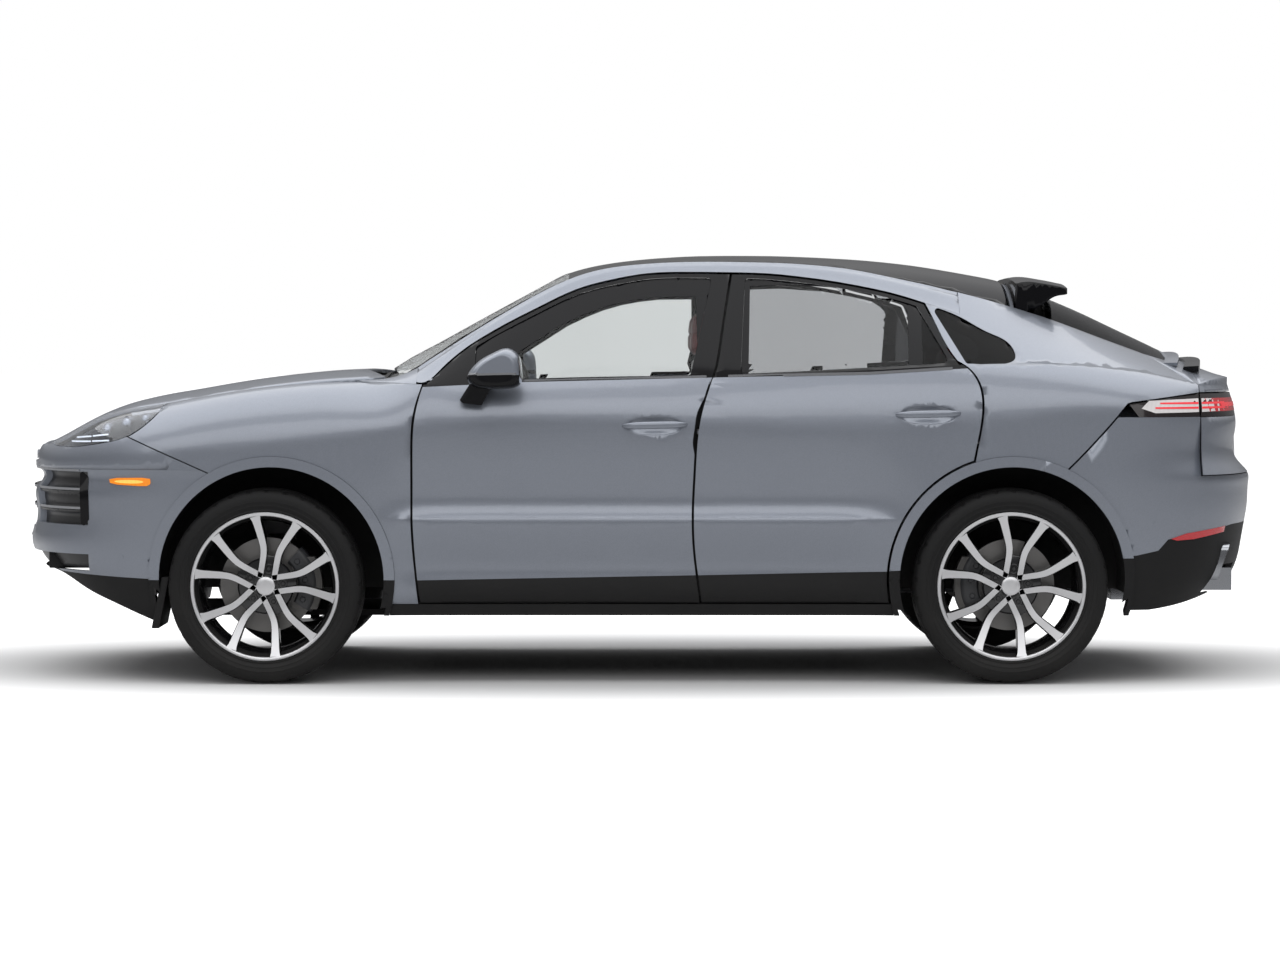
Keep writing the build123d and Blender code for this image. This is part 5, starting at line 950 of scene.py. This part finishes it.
def make_grille_trim():
    """Bright edges on the grille's vanes, and the bright blade over each side opening."""
    grille, bumper = surface_of("grille"), surface_of("front_bumper")
    edge = [(-0.004, -0.0045), (0.004, -0.0045), (0.006, 0.0), (0.004, 0.0045), (-0.004, 0.0045)]
    for k, z in enumerate((0.680, 0.754)):
        for name, side in SIDES:
            line = nose_points(grille, z, side * 152, side * 104, 20, 0.004, lambda p: p.x < -2.15)
            bar_along(f"vane_edge_{k}_{name}", line, edge, BRIGHT, SHELL)
        line = nose_points(grille, z, 141, 219, 30, 0.004, lambda p: abs(p.y) < 0.465)
        bar_along(f"vane_edge_{k}_middle", line, edge, BRIGHT, SHELL)
    for name, side in SIDES:
        line = nose_points(bumper, 0.8275, side * 156, side * 100, 26, 0.0015, lambda p: p.x < -2.165)
        bar_along(f"grille_blade_{name}", line, flat_bar(0.006, 0.007), BRIGHT, SHELL)


def lamp_skin(thick, name, material, drop=0.0):
    """The outer skin of the headlamps as a thin closed cover, or sunk below it as their bowls."""
    bm = panel_mesh("headlamps")
    def faces_out(face):
        side = 0.75 if face.calc_center_median().y > 0 else -0.75
        return face.normal.dot(Vector((-0.45, side, 0.5))) > 0.35
    bmesh.ops.delete(bm, geom=[f for f in bm.faces if not faces_out(f)], context="FACES")
    bm.normal_update()
    if drop:
        sunk = {v: v.co - v.normal * drop for v in bm.verts}
        for vert, place in sunk.items():
            vert.co = place
    bmesh.ops.solidify(bm, geom=bm.faces[:], thickness=thick)
    bmesh.ops.recalc_face_normals(bm, faces=bm.faces)
    return put(name, bm, [material], SHELL, sharp=40)


DAY_LAMPS = [   # x and z of each bar's front and rear ends
    (-2.235, 0.946, -2.150, 0.946), (-2.140, 0.947, -2.070, 0.950),
    (-2.215, 0.962, -2.150, 0.967), (-2.140, 0.968, -2.075, 0.975),
]
PROJECTORS = [(-2.085, 1.005, 0.021), (-2.005, 1.028, 0.024), (-1.930, 1.044, 0.020)]   # x, z, radius
PROJECTOR = [
    (0.0001, 0.010), (0.010, 0.0085), (0.0155, 0.004), (0.017, -0.002), (0.021, -0.002), (0.024, 0.003),
    (0.026, 0.002), (0.026, -0.014), (0.0001, -0.014),
]
PROJECTOR_RADIUS, BULB_RADIUS = 0.026, 0.0165


def make_projector(name, spot, side, size):
    """A lens in its bright ring, facing forwards and outboard."""
    bm = turned(PROJECTOR, 28)
    for face in bm.faces:
        face.material_index = 0 if from_axle(face)[1] < BULB_RADIUS else 1
    bmesh.ops.scale(bm, vec=(size / PROJECTOR_RADIUS,) * 3, verts=bm.verts)
    aim = Vector((-0.55, side * 0.8, 0.15)).normalized()
    turn = Vector((0, 1, 0)).rotation_difference(aim).to_matrix()
    bmesh.ops.rotate(bm, cent=(0, 0, 0), matrix=turn, verts=bm.verts)
    bmesh.ops.translate(bm, vec=spot, verts=bm.verts)
    put(name, bm, [BULB, DARK_CHROME], SHELL, sharp=40)


def make_headlamps():
    """Each headlamp: a clear cover over a black bowl with day lamps, projectors and a reflector."""
    cover = lamp_skin(0.0025, "headlamp_cover", LENS)
    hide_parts("headlamps")
    lamp_skin(0.003, "headlamp_bowl", GLOSS, 0.026)
    tree = surface_of("headlamps")
    for name, side in SIDES:
        def inside(x, z, depth):
            hit, normal = tree.ray_cast(Vector((x, side * 1.4, z)), Vector((0, -side, 0)))[:2]
            return hit - normal * depth if hit else None

        def line_inside(x0, z0, x1, z1, depth, steps):
            places = [(x0 + (x1 - x0) * i / steps, z0 + (z1 - z0) * i / steps) for i in range(steps + 1)]
            return [spot for spot in (inside(x, z, depth) for x, z in places) if spot]

        for k, ends in enumerate(DAY_LAMPS):
            line, tube = line_inside(*ends, 0.012, 5), oval(0.006, 0.0065, 10)
            bar_along(f"day_lamp_{name}_{k}", line, tube, DAYLIGHT, SHELL)
        for k, (x, z, size) in enumerate(PROJECTORS):
            spot = inside(x, z, 0.016)
            if spot:
                make_projector(f"projector_{name}_{k}", spot, side, size)
        line = line_inside(-1.985, 1.052, -1.870, 1.070, 0.008, 6)
        bar_along(f"upper_reflector_{name}", line, flat_bar(0.004, 0.012), BRIGHT, SHELL)


def make_exhaust_tips():
    """A wide rounded tip on each side, with a deep mouth and an end cut at a slant."""
    for name, side in SIDES:
        bm = bmesh.new()
        bmesh.ops.create_cube(bm, size=1)
        bmesh.ops.scale(bm, vec=(0.150, 0.205, 0.150), verts=bm.verts)
        long_edges = [e for e in bm.edges if abs((e.verts[0].co - e.verts[1].co).x) > 0.1]
        bmesh.ops.bevel(
            bm, geom=long_edges, offset=0.030, segments=5, profile=0.5, material=-1, affect="EDGES",
        )
        bm.normal_update()
        mouth = [f for f in bm.faces if f.normal.x > 0.9]
        bmesh.ops.inset_region(bm, faces=mouth, thickness=0.006, depth=0.0)
        bmesh.ops.translate(bm, vec=(-0.120, 0, 0), verts=list({v for f in mouth for v in f.verts}))
        for vert in bm.verts:
            vert.co.x += 0.36 * vert.co.z if vert.co.x > -0.02 else 0.0
        bmesh.ops.recalc_face_normals(bm, faces=bm.faces)
        bmesh.ops.translate(bm, vec=(2.222, side * 0.640, 0.462), verts=bm.verts)
        put(f"exhaust_tip_{name}", bm, [DARK_CHROME], SHELL, sharp=35)


LIP_HALF = 0.60
LIPS = [   # name, x, width, height, lift, finish
    ("lip_spoiler", 2.232, 0.066, 0.020, 0.012, GLOSS),
    ("lip_rib_strip", 2.150, 0.060, 0.010, 0.003, PAINT),
]


def make_lip_spoiler():
    """The parked lip spoiler across the tailgate, and the painted strip ahead of it."""
    tree = surface_of("tailgate")
    for name, x, wide, high, lift, material in LIPS:
        line = []
        for k in range(33):
            y = -LIP_HALF + 2 * LIP_HALF * k / 32
            above_it = Vector((x - 0.05 * (abs(y) / LIP_HALF) ** 2.5, y, 2.0))
            hit = tree.ray_cast(above_it, Vector((0, 0, -1)))[0]
            if hit:
                line.append(hit + Vector((0, 0, lift)))
        u, v = high / 2, wide / 2
        ring = [(-u, -v), (u, -v + 0.006), (high * 0.75, v), (-u, v)]
        ahead = Vector((1, 0, 0))
        bar_along(name, line, ring, material, BODY_OF["tailgate"], up=ahead)


# --- cabin --------------------------------------------------------------------------------
SEAM_HALF, SEAM_DEPTH = 0.085, 0.006


def cushion(bm, low, high, radius, crown, seams=(), lean=0.0):
    """A crowned pad between two corners, with sewn channels across it and a lean backwards."""
    low, high = Vector(low), Vector(high)
    middle, half = (low + high) / 2, (high - low) / 2
    pad = bmesh.new()
    bmesh.ops.create_cube(pad, size=2)
    bmesh.ops.subdivide_edges(pad, edges=pad.edges[:], cuts=17, use_grid_fill=True)
    for vert in pad.verts:
        share = vert.co.copy()
        place = Vector([share[i] * half[i] for i in range(3)])
        core = Vector([max(-half[i] + radius, min(half[i] - radius, place[i])) for i in range(3)])
        out = place - core
        rounded_off = out.length > 1e-9
        if rounded_off:
            place = core + out.normalized() * radius
        for i in range(3):
            j, k = (i + 1) % 3, (i + 2) % 3
            if abs(share[i]) > 0.999:
                place[i] += crown * (1 if share[i] > 0 else -1) * (1 - share[j] ** 2) * (1 - share[k] ** 2)
        for axis, at in seams:
            gap = abs(share[axis] - at)
            if gap < SEAM_HALF and rounded_off:
                place -= out.normalized() * SEAM_DEPTH * (1 - gap / SEAM_HALF)
        place.x += lean * (place.z + half.z)
        vert.co = middle + place
    bmesh.ops.recalc_face_normals(pad, faces=pad.faces)
    merge_in(bm, pad)


# Pads of one seat: sideways from the seat's middle, half width, low and high (x, z), corner radius,
# crown, and if it has them its seams as (axis, share) and its lean.
FRONT_PADS = [
    (0, 0.165, (-0.280, 0.480), (0.190, 0.628), 0.045, 0.010, [(0, -0.45), (0, 0.0), (0, 0.45)]),
    (-0.198, 0.034, (-0.270, 0.480), (0.180, 0.640), 0.030, 0.004),
    (0.198, 0.034, (-0.270, 0.480), (0.180, 0.640), 0.030, 0.004),
    (0, 0.155, (0.120, 0.640), (0.205, 1.255), 0.038, 0.008, [(2, -0.5), (2, -0.1), (2, 0.3)], 0.155),
    (-0.190, 0.036, (0.095, 0.640), (0.205, 1.180), 0.030, 0.004, (), 0.165),
    (0.190, 0.036, (0.095, 0.640), (0.205, 1.180), 0.030, 0.004, (), 0.165),
]
REAR_PADS = [
    (0, 0.245, (0.610, 0.480), (1.000, 0.635), 0.045, 0.008, [(0, -0.3), (0, 0.3)]),
    (0, 0.245, (0.990, 0.640), (1.085, 1.165), 0.045, 0.008, [(2, -0.4), (2, 0.2)], 0.155),
]
FRONT_HEADREST = [(0, 0.120, (0.205, 1.275), (0.300, 1.440), 0.035, 0.006, [(2, 0.0)], 0.06)]
REAR_HEADREST = [(0, 0.115, (1.190, 1.185), (1.270, 1.300), 0.032, 0.005, (), 0.10)]
SEAT_Y = 0.378


def put_pads(name, y, pads, material, node):
    """A padded piece of some pads, on the seat whose middle is at y."""
    bm = bmesh.new()
    for across, half_width, low, high, *form in pads:
        at = y + across
        cushion(bm, (low[0], at - half_width, low[1]), (high[0], at + half_width, high[1]), *form)
    put(name, bm, [material], BODY_OF[node], sharp=60)


def make_seats():
    """Two front seats and the rear bench, each with its middle pads, bolsters and headrests."""
    for name, side in SIDES:
        y = side * SEAT_Y
        put_pads(f"front_pads_{name}", y, FRONT_PADS, LEATHER, "front_seats")
        put_pads(f"front_headrest_{name}", y, FRONT_HEADREST, RED_LEATHER, "front_seats")
        base = block((0.40, 0.38, 0.17), (-0.04, y, 0.385), 0.02, 3)
        put(
            f"front_seat_base_{name}", base, [CABIN], BODY_OF["front_seats"],
            ["front_seats"] if side < 0 else [], 40,
        )
        put_pads(f"rear_pads_{name}", y, REAR_PADS, LEATHER, "rear_seat")
        put_pads(f"rear_headrest_{name}", y, REAR_HEADREST, RED_LEATHER, "rear_seat")
    bm = panel_mesh("rear_seat")
    about = Matrix.Translation((-0.98, 0, -0.30))
    bmesh.ops.scale(bm, vec=(0.98, 0.985, 0.98), space=about, verts=bm.verts)
    high = [f for f in bm.faces if f.calc_center_median().z > 1.19]
    bmesh.ops.delete(bm, geom=high, context="FACES")
    bmesh.ops.holes_fill(bm, edges=[e for e in bm.edges if e.is_boundary])
    put("rear_bench_frame", bm, [CARPET], BODY_OF["rear_seat"], ["rear_seat"], 30)


# --- light, floor and camera --------------------------------------------------------------
def seen_directly(tree):
    """1 for what the camera sees itself or through glass, 0 for light on the vehicle."""
    path = tree.nodes.new("ShaderNodeLightPath")
    return linked(
        tree, "ShaderNodeMath", [("operation", "MAXIMUM")], _0=path.outputs["Is Camera Ray"],
        _1=path.outputs["Is Transmission Ray"],
    ).outputs[0]


def make_floor():
    """A pale floor that glows white away from the vehicle; near it the glow fades out, a painted shadow laid over
    the real one.
    """
    bm = bmesh.new()
    bmesh.ops.create_grid(bm, x_segments=2, y_segments=2, size=120)
    mesh = bpy.data.meshes.new("floor")
    bm.to_mesh(mesh)
    bm.free()
    floor = bpy.data.objects.new("floor", mesh)
    SCENE.collection.objects.link(floor)
    material = bpy.data.materials.new("pale_floor")
    material.use_nodes = True
    tree = material.node_tree
    tree.nodes.clear()
    place = tree.nodes.new("ShaderNodeTexCoord").outputs["Object"]
    # Painted shadow: the glow seen by the camera is nil in an oval round the vehicle's middle and rises to 0.85
    # beyond it, so the floor darkens under and beside the vehicle whatever the lamps do.
    around = linked(tree, "ShaderNodeVectorMath", [("operation", "MULTIPLY")], _0=place, _1=(0.30, 0.60, 0))
    far = linked(tree, "ShaderNodeVectorMath", [("operation", "LENGTH")], _0=around.outputs[0])
    glow_outside_painted_shadow = linked(
        tree, "ShaderNodeMapRange", [("interpolation_type", "SMOOTHSTEP")], Value=far.outputs["Value"],
        _1=0.62, _2=1.45, _3=0.0, _4=0.85,
    )
    strength = linked(
        tree, "ShaderNodeMath", [("operation", "MULTIPLY")], _0=seen_directly(tree),
        _1=glow_outside_painted_shadow.outputs[0],
    )
    diffuse = linked(tree, "ShaderNodeBsdfDiffuse", Color=(0.55, 0.55, 0.55, 1))
    glow = linked(tree, "ShaderNodeEmission", Color=(1, 1, 1, 1), Strength=strength.outputs[0])
    both = linked(tree, "ShaderNodeAddShader", _0=diffuse.outputs[0], _1=glow.outputs[0])
    out = tree.nodes.new("ShaderNodeOutputMaterial")
    tree.links.new(both.outputs[0], out.inputs["Surface"])
    mesh.materials.append(material)


STUDIO_GREYS = ((0.155, 0.26), (0.172, 0.15), (0.30, 0.24), (0.452, 0.46), (0.74, 0.75))


def make_world():
    """Pale studio: white where it is seen directly, darker low down where paint reflects it."""
    world = bpy.data.worlds.new("studio")
    SCENE.world = world
    world.use_nodes = True
    tree = world.node_tree
    tree.nodes.clear()
    place = tree.nodes.new("ShaderNodeTexCoord").outputs["Generated"]
    height = linked(tree, "ShaderNodeSeparateXYZ", Vector=place).outputs["Z"]
    level = linked(tree, "ShaderNodeMapRange", Value=height, _1=-0.2, _2=1.0)
    ramp = linked(tree, "ShaderNodeValToRGB", Fac=level.outputs[0])
    ramp.color_ramp.elements[0].color = (0.26, 0.26, 0.265, 1)
    ramp.color_ramp.elements[1].color = (0.78, 0.79, 0.81, 1)
    for where, grey in STUDIO_GREYS:
        step = ramp.color_ramp.elements.new(where)
        step.color = (grey, grey, grey * 1.02, 1)
    surround = linked(tree, "ShaderNodeBackground", Color=ramp.outputs["Color"], Strength=0.95)
    white = linked(tree, "ShaderNodeBackground", Color=(1, 1, 1, 1), Strength=1.0)
    mixed = linked(
        tree, "ShaderNodeMixShader", _0=seen_directly(tree), _1=surround.outputs[0], _2=white.outputs[0],
    )
    out = tree.nodes.new("ShaderNodeOutputWorld")
    tree.links.new(mixed.outputs[0], out.inputs["Surface"])


def make_lamp(name, place, aim, size, watts):
    """A soft box lamp at a place, aimed at a point."""
    lamp = bpy.data.lights.new(name, "AREA")
    lamp.shape, lamp.size, lamp.size_y, lamp.energy = "RECTANGLE", size[0], size[1], watts
    holder = bpy.data.objects.new(name, lamp)
    holder.location = place
    holder.rotation_euler = (Vector(aim) - Vector(place)).to_track_quat("-Z", "Y").to_euler()
    SCENE.collection.objects.link(holder)


def make_camera():
    """A long lens square to the vehicle's left side, a little above its waist."""
    data = bpy.data.cameras.new("view")
    data.lens, data.sensor_width, data.clip_end = 112.7, 36.0, 400.0
    camera = bpy.data.objects.new("view", data)
    camera.location = (0.0024, -16.475, 1.3545)
    aim = Vector((0.0024, -0.975, 0.794)) - camera.location
    camera.rotation_euler = aim.to_track_quat("-Z", "Y").to_euler()
    SCENE.collection.objects.link(camera)
    SCENE.camera = camera


make_camera()
make_world()
make_floor()
make_lamp("overhead", (0, 0, 6.5), (0, 0, 0), (15.0, 10.0), 700)
make_lamp("side_fill", (0, -9.5, 5.5), (0, 0, 0.8), (14.0, 4.0), 260)
SCENE.view_settings.view_transform = "Standard"

make_panels()
for end in ("front", "rear"):
    for name, side in SIDES:
        make_rim(end, side, name)
        make_tyre(end, side, name)
        make_caliper(end, side, name)
make_plates()
make_nose_blocks()
make_grille_trim()
make_headlamps()
make_exhaust_tips()
make_lip_spoiler()
make_seats()
